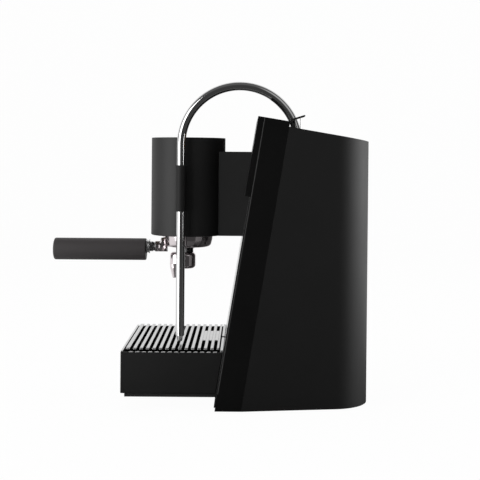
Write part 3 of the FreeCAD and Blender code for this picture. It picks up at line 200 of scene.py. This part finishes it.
shaderLabels = {"metallic": "Metallic", "specular": "Specular IOR Level",
                "transmission": "Transmission Weight"}


def rgba(shade, tint):       # a grey takes the tint, a colour stays as it is
    colour = shade if isinstance(shade, tuple) else [shade * part for part in tint]
    return (*colour, 1)


def makeFinish(name, look):
    mat = bpy.data.materials.new(name)
    mat.use_nodes = True
    tree = mat.node_tree
    shader = tree.nodes["Principled BSDF"]
    for key, label in shaderLabels.items():
        if key in look:
            shader.inputs[label].default_value = look[key]
    brushed = "stretch" in look
    effect = addNode(tree, "ShaderNodeGroup", node_tree=brushGroup if brushed else grainGroup)
    if brushed:
        effect.inputs["Stretch"].default_value = look["stretch"]
    elif "grain" in look:
        effect.inputs["Grain Scale"].default_value = look["grain"]
    for label, shade in zip(("Dark", "Light"), look["shades"]):
        effect.inputs[label].default_value = rgba(shade, look.get("tint", (1, 1, 1)))
    for label, rough in zip(("Rough Low", "Rough High"), look["rough"]):
        effect.inputs[label].default_value = rough
    tree.links.new(effect.outputs["Color"], shader.inputs["Base Color"])
    tree.links.new(effect.outputs["Roughness"], shader.inputs["Roughness"])
    bump = addNode(tree, "ShaderNodeBump")
    bump.inputs["Strength"].default_value = look["bump"]
    bump.inputs["Distance"].default_value = relief["lines" if brushed else "grain"]
    tree.links.new(effect.outputs["Height"], bump.inputs["Height"])
    tree.links.new(bump.outputs["Normal"], shader.inputs["Normal"])
    return mat


made = {name: makeFinish(name, look) for name, look in finishes.items()}
print("finishes built:", len(made))

# the record's slot of each node takes one of the finishes
slotFinish = {
    "casing_paint": "casingPaint", "group_paint": "groupPaint", "panel_plastic": "panelPlastic",
    "front_steel": "frontSteel", "button_plastic": "buttonPlastic", "lamp_lens": "lampLens",
    "board_laminate": "boardLaminate", "base_plastic": "basePlastic", "soft_rubber": "softRubber",
    "carrier_paint": "basePlastic", "tray_plastic": "trayPlastic", "grill_steel": "grillSteel",
    "pipe_chrome": "pipeChrome", "grip_plastic": "gripPlastic", "sleeve_rubber": "sleeveRubber",
    "turned_brass": "turnedBrass", "boiler_alloy": "boilerAlloy", "bright_steel": "brightSteel",
    "tank_clear": "tankClear", "inlet_plastic": "basePlastic", "pump_shell": "pumpShell",
    "lever_paint": "casingPaint",
}
slotOf = {item["node"]: item["material_slot"] for item in frame["record"]["subparts"]}
bodyOf = {name: body for body, members in frame["record"]["behaviour"]["bodies"].items() for name in members}


def setFinish(obj, finish):
    obj.data.materials.clear()
    obj.data.materials.append(made[finish])


for name, obj in nodes.items():
    setFinish(obj, slotFinish[slotOf[name]])
print("frame nodes finished")


# mesh tools: pieces are given in millimetres, and meshes are made in metres

def smoothMesh(mesh, angle=40):
    mesh.polygons.foreach_set("use_smooth", [True] * len(mesh.polygons))
    mesh.set_sharp_from_angle(angle=math.radians(angle))


def finishMesh(form, name, angle=40):
    bmesh.ops.recalc_face_normals(form, faces=form.faces)
    mesh = bpy.data.meshes.new(name)
    form.to_mesh(mesh)
    form.free()
    smoothMesh(mesh, angle)
    return mesh


def addPiece(name, mesh, node, finish=None):     # a piece that stands for a CAD node and rides on its body
    obj = bpy.data.objects.new(name, mesh)
    scene.collection.objects.link(obj)
    setFinish(obj, finish or slotFinish[slotOf[node]])
    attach(obj, bodyOf[node])
    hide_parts(node)
    return obj


def roundEdges(obj, width, segments=3, angle=35):
    bevel = obj.modifiers.new("roundEdges", "BEVEL")
    bevel.width = width * mm
    bevel.segments = segments
    bevel.limit_method = "ANGLE"
    bevel.angle_limit = math.radians(angle)
    bevel.use_clamp_overlap = True
    bevel.harden_normals = True


def evenly(start, span, steps):       # values from start over the span, both ends included
    return [start + span * step / steps for step in range(steps + 1)]


def circle(sides):
    return [(math.cos(angle), math.sin(angle)) for angle in evenly(0, 2 * math.pi, sides)[:-1]]


def joinRings(form, low, high):
    for index in range(len(low)):
        after = (index + 1) % len(low)
        form.faces.new((low[index], low[after], high[after], high[index]))


def latheMesh(name, outline, sides, onAxis=1e-7):      # closed outline in metres, turned about Z
    form = bmesh.new()
    rings = []
    for radius, height in outline:
        if radius < onAxis:
            rings.append([form.verts.new((0, 0, height))])
        else:
            rings.append([form.verts.new((radius * c, radius * s, height)) for c, s in circle(sides)])
    for low, high in zip(rings, rings[1:] + rings[:1]):
        if len(low) == 1 and len(high) == 1:
            continue
        for step in range(sides):
            after = (step + 1) % sides
            corners = [low[step % len(low)], low[after % len(low)],
                       high[after % len(high)], high[step % len(high)]]
            form.faces.new(list(dict.fromkeys(corners)))       # a point on the axis counts once
    return finishMesh(form, name)


def roundedOutline(profile, steps=6, longest=0.49):     # a round takes at most a share of the sides it meets
    corners = [Vector((radius * mm, height * mm)) for radius, height, size in profile]
    points = []
    for index, here in enumerate(corners):
        size = profile[index][2] * mm
        if size <= 0:
            points.append(tuple(here))
            continue
        before = corners[index - 1] - here
        after = corners[(index + 1) % len(corners)] - here
        reach = min(size / math.tan(before.angle(after) / 2), before.length * longest, after.length * longest)
        start = here + before.normalized() * reach
        end = here + after.normalized() * reach
        for t in evenly(0, 1, steps):           # a quadratic blend stays inside the corner
            points.append(tuple(start * (1 - t) ** 2 + here * 2 * t * (1 - t) + end * t ** 2))
    return points


def turnedMesh(name, profile, place, axis, sides):      # profile of radius, height and corner round
    mesh = latheMesh(name, roundedOutline(profile), sides)
    turn = Vector((0, 0, 1)).rotation_difference(Vector(axis)).to_matrix().to_4x4()
    mesh.transform(Matrix.Translation([value * mm for value in place]) @ turn)
    return mesh


def turnInto(form, profile, place, axis, sides):        # a turned shape added to a casting
    mesh = turnedMesh("turnedShape", profile, place, axis, sides)
    form.from_mesh(mesh)
    bpy.data.meshes.remove(mesh)


def extrudeY(form, outline, near, far):      # an outline in X and Z drawn out along Y
    rings = [[form.verts.new((x * mm, y * mm, z * mm)) for x, z in outline] for y in (near, far)]
    joinRings(form, *rings)
    form.faces.new(list(reversed(rings[0])))
    form.faces.new(rings[1])


def addSlab(form, x0, x1, y0, y1, z0, z1):
    plan = ((x0, y0), (x1, y0), (x1, y1), (x0, y1))
    corners = [form.verts.new((x * mm, y * mm, z * mm)) for z in (z0, z1) for x, y in plan]
    for face in ((3, 2, 1, 0), (4, 5, 6, 7), (0, 1, 5, 4), (1, 2, 6, 5), (2, 3, 7, 6), (3, 0, 4, 7)):
        form.faces.new([corners[index] for index in face])


# CAD forms shown with rounded edges: edge radius of each
edgeRounds = {
    "front_casing": 0.6, "rear_shell": 0.6, "control_panel": 0.9, "front_plate": 0.25, "drip_tray": 0.9,
    "tray_carrier": 0.6, "group_cap": 0.5, "group_arm": 0.5, "lever_pin": 0.2, "tank_lid": 0.5,
    "power_button": 0.6, "coffee_button": 0.6, "steam_button": 0.6, "indicator_lamps": 0.3,
    "base_plate": 0.4, "rubber_feet": 0.3, "power_inlet": 0.5,
}
nodeFinish = {"group_arm": "armPaint", "front_casing": "bandPaint", "control_panel": "bandPaint"}
# the lower edge of the casing is drawn down until it nearly meets the table
skirt = {"nodes": ("front_casing", "rear_shell"), "below": 1.7, "bottom": 0.5}
flats = {"weld": 1e-6, "angle": 1}       # metres between doubled points, degrees between joined faces


def cloneNode(node, width, finish):      # a CAD form with its flats joined and its edges rounded
    form = bmesh.new()
    form.from_mesh(nodes[node].data)
    if node in skirt["nodes"]:
        for vert in form.verts:
            if vert.co.z < skirt["below"] * mm:
                vert.co.z = skirt["bottom"] * mm
    bmesh.ops.remove_doubles(form, verts=form.verts, dist=flats["weld"])
    bmesh.ops.dissolve_limit(form, angle_limit=math.radians(flats["angle"]), verts=form.verts,
                             edges=form.edges)
    mesh = bpy.data.meshes.new(node + "Form")
    form.to_mesh(mesh)
    form.free()
    if "custom_normal" in mesh.attributes:
        mesh.attributes.remove(mesh.attributes["custom_normal"])
    smoothMesh(mesh)
    roundEdges(addPiece(node + "Rounded", mesh, node, finish), width)


for node, width in edgeRounds.items():
    cloneNode(node, width, nodeFinish.get(node))
print("CAD forms rounded:", len(edgeRounds))


# steam pipe: one tube along root, half-round bend and leg
steamPipe = {"rootX": 102.1, "y": -53.0, "bend": 67.0, "top": 364.0, "foot": 287.0, "legEnd": 78.8,
             "radius": 5.0, "bore": 3.0, "bendSteps": 72, "sides": 48}


def pipePath(p):
    centreX = p["rootX"] - p["bend"]
    centreZ = p["top"] - p["bend"]
    path = [(p["rootX"], p["foot"])]
    for angle in evenly(0, math.pi, p["bendSteps"]):
        path.append((centreX + p["bend"] * math.cos(angle), centreZ + p["bend"] * math.sin(angle)))
    path.append((centreX - p["bend"], p["legEnd"]))
    return [Vector((x * mm, p["y"] * mm, z * mm)) for x, z in path]


def buildPipe(p):       # swept in the plane of Y, open bore
    form = bmesh.new()
    path = pipePath(p)
    side = Vector((0, 1, 0))
    skins = []
    for size in (p["radius"] * mm, p["bore"] * mm):
        rings = []
        for index, point in enumerate(path):
            along = (path[min(index + 1, len(path) - 1)] - path[max(index - 1, 0)]).normalized()
            out = side.cross(along).normalized()
            rings.append([form.verts.new(point + size * (c * side + s * out)) for c, s in circle(p["sides"])])
        for low, high in zip(rings, rings[1:]):
            joinRings(form, low, high)
        skins.append(rings)
    for end in (0, -1):
        joinRings(form, skins[0][end], skins[1][end])
    addPiece("steamPipeTube", finishMesh(form, "steamPipeTube"), "steam_pipe")


buildPipe(steamPipe)


# turned pieces: each corner's radius, height along the axis and round
groupX = -26.4                                          # axis of the brewing group
legX = steamPipe["rootX"] - 2 * steamPipe["bend"]       # axis of the pipe's leg
turnedForms = {
    "group_housing": {"place": (groupX, 0, 0), "sides": 160, "profile": [
        (41.5, 190.1, 0.8), (44.0, 190.1, 0.8), (44.0, 305.2, 0.8), (41.5, 305.2, 0.8)]},
    "handle_grip": {"place": (-76.2, 0, 171.7), "axis": (-1, 0, 0), "sides": 128, "profile": [
        (0, 0, 0), (13.0, 0, 1.2), (13.0, 110.0, 2.6), (0, 110.0, 0)]},
    "grip_sleeve": {"place": (legX, steamPipe["y"], 220.0), "sides": 96, "profile": [
        (5.05, 0, 0), (6.2, 0, 0.9), (6.2, 53.0, 0.9), (5.05, 53.0, 0)]},
    "steam_nozzle": {"place": (legX, steamPipe["y"], 0), "sides": 48, "profile": [
        (0.9, 78.7, 0), (4.4, 78.7, 0.2), (4.4, 77.6, 0.2), (3.3, 77.6, 0), (3.0, 73.2, 0.5),
        (2.0, 71.8, 0.4), (0.9, 71.8, 0)]},
    "spout_nut": {"place": (groupX, 0, 0), "sides": 96, "finish": "nutBlack", "profile": [
        (0, 166.0, 0), (6.4, 166.0, 0), (6.4, 173.6, 0.5), (8.2, 173.6, 0.5), (8.2, 175.7, 0.3),
        (0, 175.7, 0)]},
    "steam_gland": {"place": (steamPipe["rootX"], steamPipe["y"], 0), "sides": 96, "profile": [
        (5.15, 297.0, 0), (10.8, 297.0, 0), (10.8, 317.0, 0.6), (5.15, 317.0, 0.6)]},
    "valve_stem": {"place": (103.2, -76.0, 0), "sides": 32, "finish": "pipeChrome", "profile": [
        (0, 287.0, 0), (0.55, 287.0, 0), (0.55, 327.2, 0.2), (0, 327.2, 0)]},
}
glandTop = {"from": (90.2, 316.9), "slope": -0.163, "proud": 0.5}


def buildTurned(node, p):
    mesh = turnedMesh(node + "Turned", p["profile"], p["place"], p.get("axis", (0, 0, 1)), p["sides"])
    return addPiece(node + "Turned", mesh, node, p.get("finish"))


def slopeGland(obj, p):                # the ring's top follows the shell's sloping top
    startX, startZ = p["from"]
    for vert in obj.data.vertices:
        limit = startZ * mm + p["slope"] * (vert.co.x - startX * mm) + p["proud"] * mm
        vert.co.z = min(vert.co.z, limit)


turned = {node: buildTurned(node, shape) for node, shape in turnedForms.items()}
slopeGland(turned["steam_gland"], glandTop)
print("pipe and turned pieces built")


# drip grill: bars folded over both sides, a bridge that closes three slots, and a rim on the tray
grill = {"front": -90.3, "firstSlot": -84.1, "pitch": 7.2, "slot": 3.6, "slots": 14, "rear": 13.9,
         "top": 69.0, "sheet": 1.5, "halfWidth": 81.2, "foldRound": 1.6, "foldSteps": 8, "foldBottom": 66.9,
         "bridgeHalf": 31.0, "bridgeSlots": (11, 12, 13), "bridgeSteps": 12, "edge": 0.45}
trayRim = {"front": -95.4, "rear": 18.4, "halfWidth": 86.7, "bar": 2.3, "rearBar": 3.2, "bottom": 65.45,
           "thick": 1.2, "tabOut": 0.5, "tabHalf": 2.2, "tabLow": 64.8, "tabTop": 65.8,
           "notchLow": -6.0, "notchHigh": 2.0, "edge": 0.35}


def stripSection(p):          # the bar's path in Y and Z, outer line then inner line
    half, top, bend, sheet = p["halfWidth"], p["top"], p["foldRound"], p["sheet"]
    outer = [(-half, p["foldBottom"])]
    inner = [(-half + sheet, p["foldBottom"])]
    turn = evenly(0, math.pi / 2, p["foldSteps"])
    for side, angles in ((-1, turn), (1, turn[::-1])):
        centre = side * (half - bend)
        for angle in angles:
            for line, size in ((outer, bend), (inner, bend - sheet)):
                line.append((centre + side * size * math.cos(angle), top - bend + size * math.sin(angle)))
    outer.append((half, p["foldBottom"]))
    inner.append((half - sheet, p["foldBottom"]))
    return outer, inner


def addStrip(form, p, low, high):       # one bar between two values of X
    lines = stripSection(p)
    (outLow, inLow), (outHigh, inHigh) = [
        [[form.verts.new((x * mm, y * mm, z * mm)) for y, z in line] for line in lines] for x in (low, high)]
    last = len(outLow) - 1
    for index in range(last):
        after = index + 1
        form.faces.new((outLow[index], outLow[after], outHigh[after], outHigh[index]))
        form.faces.new((inHigh[index], inHigh[after], inLow[after], inLow[index]))
        form.faces.new((outLow[index], inLow[index], inLow[after], outLow[after]))
        form.faces.new((outHigh[after], inHigh[after], inHigh[index], outHigh[index]))
    for index in (0, last):
        form.faces.new((outLow[index], outHigh[index], inHigh[index], inLow[index]))


def addBridge(form, p, centre):         # closes the middle of one slot, with half-round slot ends
    half = p["slot"] / 2
    rows = []
    for x in evenly(-half, p["slot"], p["bridgeSteps"]):
        rows.append((centre + x, p["bridgeHalf"] + half - math.sqrt(max(half * half - x * x, 0.0))))
    (nearTop, farTop), (nearLow, farLow) = [
        [[form.verts.new((x * mm, side * y * mm, height * mm)) for x, y in rows] for side in (-1, 1)]
        for height in (p["top"], p["top"] - p["sheet"])]
    for index in range(len(rows) - 1):
        after = index + 1
        form.faces.new((nearTop[index], nearTop[after], farTop[after], farTop[index]))
        form.faces.new((farLow[index], farLow[after], nearLow[after], nearLow[index]))
        form.faces.new((nearTop[after], nearTop[index], nearLow[index], nearLow[after]))
        form.faces.new((farTop[index], farTop[after], farLow[after], farLow[index]))


def slotCentres(p):
    return [p["firstSlot"] + p["pitch"] * index for index in range(p["slots"])]


def buildGrill(p):
    form = bmesh.new()
    slots = slotCentres(p)
    lows = [p["front"]] + [centre + p["slot"] / 2 for centre in slots]
    highs = [centre - p["slot"] / 2 for centre in slots] + [p["rear"]]
    for low, high in zip(lows, highs):
        addStrip(form, p, low, high)
    for index in p["bridgeSlots"]:
        addBridge(form, p, slots[index])
    obj = addPiece("dripGrillBars", finishMesh(form, "dripGrillBars"), "drip_grill")
    roundEdges(obj, p["edge"], segments=2)


def buildTrayRim(p):
    form = bmesh.new()
    z0, z1, half = p["bottom"], p["bottom"] + p["thick"], p["halfWidth"]
    addSlab(form, p["front"], p["front"] + p["bar"], -half, half, z0, z1)
    for low, high in ((-half, p["notchLow"]), (p["notchHigh"], half)):        # the rear bar leaves a notch
        addSlab(form, p["rear"] - p["rearBar"], p["rear"], low, high, z0, z1 + p["thick"])
    out = half + p["tabOut"]
    for low, high in ((-out, -half + p["bar"]), (half - p["bar"], out)):      # a tab below each slot
        for middle in slotCentres(grill):
            addSlab(form, middle - p["tabHalf"], middle + p["tabHalf"], low, high, p["tabLow"], p["tabTop"])
    obj = bpy.data.objects.new("trayRimFrame", finishMesh(form, "trayRimFrame"))
    scene.collection.objects.link(obj)
    setFinish(obj, "grillSteel")
    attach(obj, "tray")
    roundEdges(obj, p["edge"], segments=2)


buildGrill(grill)
buildTrayRim(trayRim)
print("grill built")


# filter holder: turned cup, faceted yoke and turned neck in one casting, and the handle's ferrule
holderCast = {
    "rodHeight": 175.2, "neckFrom": -59.0, "cupSides": 128, "neckSides": 64, "smooth": 28,
    "cup": [(0, 179.2, 0), (24.5, 179.2, 2.0), (27.5, 190.0, 1.0), (27.5, 199.0, 0.4), (30.0, 199.0, 0.4),
            (30.0, 190.1, 2.0), (29.3, 184.0, 2.0), (27.2, 175.6, 8.5), (0, 175.6, 0)],
    "neck": [(0, 24.0, 0), (6.3, 24.0, 0), (6.3, 38.6, 0.8), (5.2, 40.2, 0.3), (5.2, 41.2, 0.2),
             (5.9, 41.6, 0.2), (5.9, 45.2, 0.3), (4.0, 45.2, 0), (4.0, 84.0, 0.6), (0, 84.0, 0)],
    "yoke": [(-60.4, 178.6), (-57.6, 186.2), (-51.6, 187.4), (-49.4, 177.8), (-55.6, 170.6), (-60.4, 172.6)],
    "yokeHalf": 17.0, "yokeInset": 5.0, "yokeEnd": 0.45,
}
ferrule = {"from": 45.2, "sides": 64, "smooth": 30, "profile": [
    (4.05, 0, 0), (8.4, 0, 0.35), (8.4, 1.5, 0.35), (7.2, 1.9, 0.2), (7.2, 2.6, 0.2), (8.1, 3.0, 0.35),
    (8.1, 4.6, 0.35), (4.05, 4.6, 0)]}


def addYoke(form, p):                # facets slope from the outline to a smaller flat on each side
    outline = [Vector(point) for point in p["yoke"]]
    centre = sum(outline, Vector((0, 0))) / len(outline)
    half, wide, end = p["yokeHalf"], p["yokeHalf"] - p["yokeInset"], p["yokeEnd"]
    rings = []
    for depth, share in ((-half, end), (-wide, 1.0), (wide, 1.0), (half, end)):
        points = [centre + (point - centre) * share for point in outline]
        rings.append([form.verts.new((point.x * mm, depth * mm, point.y * mm)) for point in points])
    for low, high in zip(rings, rings[1:]):
        joinRings(form, low, high)
    form.faces.new(rings[0])
    form.faces.new(list(reversed(rings[-1])))


def buildHolder(p):
    form = bmesh.new()
    turnInto(form, p["cup"], (groupX, 0, 0), (0, 0, 1), p["cupSides"])
    turnInto(form, p["neck"], (groupX, 0, p["rodHeight"]), (-1, 0, 0), p["neckSides"])
    addYoke(form, p)
    mesh = finishMesh(form, "filterHolderCast", p["smooth"])
    obj = addPiece("filterHolderCast", mesh, "filter_holder", "cupChrome")
    # the neck of the same casting takes the darker chrome copy: painted shade, not a different metal
    obj.data.materials.append(made["neckChromeShaded"])
    for face in obj.data.polygons:
        face.material_index = 1 if face.center.x < p["neckFrom"] * mm else 0


def buildFerrule(p):
    form = bmesh.new()
    turnInto(form, p["profile"], (groupX - p["from"], 0, holderCast["rodHeight"]), (-1, 0, 0), p["sides"])
    mesh = finishMesh(form, "handleFerruleRings", p["smooth"])
    addPiece("handleFerruleRings", mesh, "handle_ferrule", "pipeChrome")


buildHolder(holderCast)
buildFerrule(ferrule)


# spout: a rounded body with two tapering outlets
spoutCast = {"centre": -32.4, "halfLength": 15.4, "halfWidth": 13.0, "power": 2.6, "top": 169.1,
             "bottom": 149.6, "topRound": 4.6, "bottomRound": 4.2, "roundSteps": 8, "sides": 72, "smooth": 35}
spoutOutlet = {"x": -42.0, "y": 8.6, "lean": 1.8, "end": 139.2, "drop": 16.8, "sides": 48, "profile": [
    (2.4, 0, 0.3), (3.7, 0, 0.8), (5.4, 11.8, 3.0), (5.4, 16.8, 0), (2.4, 16.8, 0)]}


def spoutRing(form, p, inset, height):
    ring = []
    for cosine, sine in circle(p["sides"]):
        x = math.copysign(abs(cosine) ** (2 / p["power"]), cosine) * (p["halfLength"] - inset)
        y = math.copysign(abs(sine) ** (2 / p["power"]), sine) * (p["halfWidth"] - inset)
        ring.append(form.verts.new(((p["centre"] + x) * mm, y * mm, height * mm)))
    return ring


def buildSpout(p, outlet):
    form = bmesh.new()
    angles = evenly(0, math.pi / 2, p["roundSteps"])
    quarter = [(1 - math.sin(angle), 1 - math.cos(angle)) for angle in angles]
    low, high = p["bottomRound"], p["topRound"]
    rings = [spoutRing(form, p, low * first, p["bottom"] + low * second) for first, second in quarter]
    rings += [spoutRing(form, p, high * second, p["top"] - high * first) for first, second in quarter]
    for lower, upper in zip(rings, rings[1:]):
        joinRings(form, lower, upper)
    form.faces.new(rings[0])
    form.faces.new(rings[-1])
    for side in (-1, 1):
        foot = (outlet["x"] + outlet["lean"], side * outlet["y"], outlet["end"])
        axis = (-outlet["lean"], 0, outlet["drop"])
        turnInto(form, outlet["profile"], foot, axis, outlet["sides"])
    addPiece("spoutCasting", finishMesh(form, "spoutCasting", p["smooth"]), "spout", "cupChrome")


buildSpout(spoutCast, spoutOutlet)
print("filter holder and spout built")


# steam lever: a knuckle round the pin with a flat blade over it, and two slim ears
leverForm = {"hinge": (94.76, 322.37), "knuckle": 1.9, "knuckleSteps": 12, "root": (91.8, 324.5),
             "tip": (107.2, 329.3), "half": 0.95, "tipSteps": 8, "bladeFrom": 5.2, "near": -85.0,
             "far": -67.0, "edge": 0.4}
earForm = {"x": 94.76, "half": 2.3, "foot": 314.5, "top": 324.1, "topSteps": 8,
           "spans": ((-87.8, -85.3), (-66.7, -64.2)), "edge": 0.3}


def buildLever(p):
    hinge, root, tip = Vector(p["hinge"]), Vector(p["root"]), Vector(p["tip"])
    along = (tip - root).normalized()
    up = Vector((-along.y, along.x)) * p["half"]
    outline = [root + up, root - up]
    for angle in evenly(math.pi, math.pi, p["knuckleSteps"]):
        outline.append(hinge + p["knuckle"] * Vector((math.cos(angle), math.sin(angle))))
    outline.append(root + along * p["bladeFrom"] - up)
    for angle in evenly(-math.pi / 2, math.pi, p["tipSteps"]):
        outline.append(tip + along * p["half"] * math.cos(angle) + up * math.sin(angle))
    form = bmesh.new()
    extrudeY(form, outline, p["near"], p["far"])
    obj = addPiece("steamLeverBlade", finishMesh(form, "steamLeverBlade"), "steam_lever")
    roundEdges(obj, p["edge"], segments=2)


def buildEars(p):
    x, half, centre = p["x"], p["half"], p["top"] - p["half"]
    outline = [(x - half, p["foot"]), (x + half, p["foot"])]
    for angle in evenly(0, math.pi, p["topSteps"]):
        outline.append((x + half * math.cos(angle), centre + half * math.sin(angle)))
    form = bmesh.new()
    for near, far in p["spans"]:
        extrudeY(form, outline, near, far)
    obj = addPiece("leverEarsSlim", finishMesh(form, "leverEarsSlim"), "lever_ears")
    roundEdges(obj, p["edge"], segments=2)


buildLever(leverForm)
buildEars(earForm)
print("steam lever built")


# painted highlight: a pale strip down each front edge of the casing stands in for the light caught by its
# rounded edge
edgeHighlightStrip = {"low": (12.4, 20.0), "high": (62.4, 326.9), "wide": 1.0, "side": 90.15, "deep": 0.5}


def buildEdgeHighlight(p):
    form = bmesh.new()
    (x0, z0), (x1, z1) = p["low"], p["high"]
    outline = [(x0, z0), (x0 + p["wide"], z0), (x1 + p["wide"], z1), (x1, z1)]
    for side in (-1, 1):
        outer, inner = side * p["side"], side * (p["side"] - p["deep"])
        extrudeY(form, outline, min(outer, inner), max(outer, inner))
    obj = bpy.data.objects.new("casingEdgeHighlight", finishMesh(form, "casingEdgeHighlight"))
    scene.collection.objects.link(obj)
    # the strip is painted paler than the casing: a painted highlight, not a trim
    setFinish(obj, "paintedEdgeHighlight")
    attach(obj, bodyOf["front_casing"])


buildEdgeHighlight(edgeHighlightStrip)
print("edge lines built")


# studio, sizes in metres

cameraForm = {"place": (0.0423, -1.198, 0.283), "lens": 75.0, "sensor": 36.0, "shift": (-0.0125, -0.173),
              "roll": -0.43, "nearest": 0.05}
# what mirrors meet: white behind, darker above and in front, a card at the right front, a glow at the left
roomGlow = {"fill": 0.3, "front": 0.06, "back": 1.0, "backSpan": (0.28, 0.55),
            "high": 0.14, "highSpan": (0.3, 0.6), "ceilingSpan": (0.3, 0.8),
            "card": 0.5, "cardAim": (0.56, -0.66, 0.5), "cardSpan": (0.88, 0.97),
            "left": 0.3, "leftSpan": (-0.6, -0.95)}
floorForm = {"half": 8.0, "front": -0.36, "wall": 2.4, "bend": 0.6, "bendSteps": 15, "smooth": 60,
             "keep": 0.03, "glowSpan": (0.05, 0.5), "leftSpan": (-0.12, -0.4), "shade": (0.12, 0.12, 0.12, 1)}
floorPaper = {"Grain Scale": 800.0, "Cloud Scale": 3.0, "Rough Low": 0.8, "Rough High": 0.95,
              "Dark": (0.86, 0.86, 0.86, 1), "Light": (0.9, 0.9, 0.9, 1)}
softboxes = {
    "keyBox": {"place": (-1.36, -1.14, 0.4), "aim": (0.0, 0.0, 0.3), "size": (1.35, 2.2), "power": 29.5},
    "topBox": {"place": (-0.2, 0.1, 1.9), "aim": (0.0, 0.0, 0.2), "size": (1.4, 1.0), "power": 12.0,
               "mirrored": False},
    "rimBox": {"place": (1.72, -0.04, 0.31), "aim": (0.1, 0.0, 0.25), "size": (1.8, 0.6), "power": 15.5},
}


def addSoftbox(name, p):
    light = bpy.data.lights.new(name, "AREA")
    light.shape = "RECTANGLE"
    light.size, light.size_y = p["size"]
    light.energy = p["power"]
    obj = bpy.data.objects.new(name, light)
    obj.visible_glossy = p.get("mirrored", True)
    obj.location = p["place"]
    obj.rotation_euler = (Vector(p["aim"]) - Vector(p["place"])).to_track_quat("-Z", "Y").to_euler()
    scene.collection.objects.link(obj)


def addCamera(p):
    camera = bpy.data.cameras.new("photoCamera")
    camera.lens = p["lens"]
    camera.sensor_width = p["sensor"]
    camera.shift_x, camera.shift_y = p["shift"]
    camera.clip_start = p["nearest"]
    obj = bpy.data.objects.new("photoCamera", camera)
    obj.location = p["place"]
    obj.rotation_euler = (math.radians(90), math.radians(p["roll"]), 0)
    scene.collection.objects.link(obj)
    scene.camera = obj


def addWorld(p):
    world = bpy.data.worlds.new("studioWorld")
    world.use_nodes = True
    scene.world = world
    tree = world.node_tree
    ray = addNode(tree, "ShaderNodeLightPath").outputs
    direction = addNode(tree, "ShaderNodeTexCoord").outputs["Generated"]
    split = addNode(tree, "ShaderNodeSeparateXYZ")
    tree.links.new(direction, split.inputs[0])
    x, y, z = split.outputs
    back = mathNode(tree, "MULTIPLY", rampNode(tree, y, p["backSpan"], (0.0, p["back"])),
                    rampNode(tree, z, p["highSpan"], (1.0, p["high"])))
    ceiling = rampNode(tree, z, p["ceilingSpan"], (p["front"], p["high"]))
    aim = addNode(tree, "ShaderNodeVectorMath", operation="DOT_PRODUCT")
    tree.links.new(direction, aim.inputs[0])
    aim.inputs[1].default_value = p["cardAim"]
    card = rampNode(tree, aim.outputs["Value"], p["cardSpan"], (0.0, p["card"]))
    left = rampNode(tree, x, p["leftSpan"], (0.0, p["left"]))
    glossy = mathNode(tree, "MULTIPLY", ray["Is Glossy Ray"], brightest(tree, back, ceiling, card, left))
    diffuse = mathNode(tree, "MULTIPLY", ray["Is Diffuse Ray"], p["fill"])
    level = brightest(tree, ray["Is Camera Ray"], ray["Is Transmission Ray"], glossy, diffuse)
    shade = tree.nodes["Background"]
    tree.links.new(level, shade.inputs["Strength"])
    shade.inputs["Color"].default_value = (1, 1, 1, 1)


def floorMesh(p):         # a sheet that bends up into a wall
    wall, bend, half = p["wall"], p["bend"], p["half"]
    outline = [(p["front"], 0.0)]
    for angle in evenly(0, math.pi / 2, p["bendSteps"]):
        outline.append((wall - bend + bend * math.sin(angle), bend - bend * math.cos(angle)))
    outline.append((wall, half))
    form = bmesh.new()
    rows = [[form.verts.new((side, y, z)) for side in (-half, half)] for y, z in outline]
    for low, high in zip(rows, rows[1:]):
        form.faces.new((low[0], low[1], high[1], high[0]))
    mesh = bpy.data.meshes.new("studioFloor")
    form.to_mesh(mesh)
    form.free()
    smoothMesh(mesh, p["smooth"])
    return mesh


def paperFinish(p):       # white to the camera; in mirrors white behind and at the left, dim in front
    mat = bpy.data.materials.new("floorPaper")
    mat.use_nodes = True
    tree = mat.node_tree
    shader = tree.nodes["Principled BSDF"]
    shader.inputs["Specular IOR Level"].default_value = 0.0
    effect = addNode(tree, "ShaderNodeGroup", node_tree=grainGroup)
    for label, value in floorPaper.items():
        effect.inputs[label].default_value = value
    tree.links.new(effect.outputs["Roughness"], shader.inputs["Roughness"])
    ray = addNode(tree, "ShaderNodeLightPath").outputs
    split = addNode(tree, "ShaderNodeSeparateXYZ")
    tree.links.new(addNode(tree, "ShaderNodeTexCoord").outputs["Object"], split.inputs[0])
    bright = brightest(tree, rampNode(tree, split.outputs["Y"], p["glowSpan"]),
                       rampNode(tree, split.outputs["X"], p["leftSpan"]))
    mirrored = mathNode(tree, "MULTIPLY", ray["Is Glossy Ray"], bright)
    seen = brightest(tree, ray["Is Camera Ray"], ray["Is Transmission Ray"], mirrored)
    front = mathNode(tree, "MULTIPLY", ray["Is Glossy Ray"], mathNode(tree, "SUBTRACT", 1.0, bright))
    tree.links.new(mixNode(tree, front, effect.outputs["Color"], p["shade"]), shader.inputs["Base Color"])
    glow = addNode(tree, "ShaderNodeEmission")
    mix = addNode(tree, "ShaderNodeMixShader")
    tree.links.new(mathNode(tree, "MULTIPLY", seen, 1.0 - p["keep"]), mix.inputs["Fac"])
    tree.links.new(shader.outputs[0], mix.inputs[1])
    tree.links.new(glow.outputs[0], mix.inputs[2])
    tree.links.new(mix.outputs[0], tree.nodes["Material Output"].inputs["Surface"])
    return mat


def addFloor(p):
    mesh = floorMesh(p)
    floor = bpy.data.objects.new("studioFloor", mesh)
    scene.collection.objects.link(floor)
    mesh.materials.append(paperFinish(p))


scene.view_settings.view_transform = "Standard"
addCamera(cameraForm)
addWorld(roomGlow)
addFloor(floorForm)
for name, box in softboxes.items():
    addSoftbox(name, box)
print("studio built")
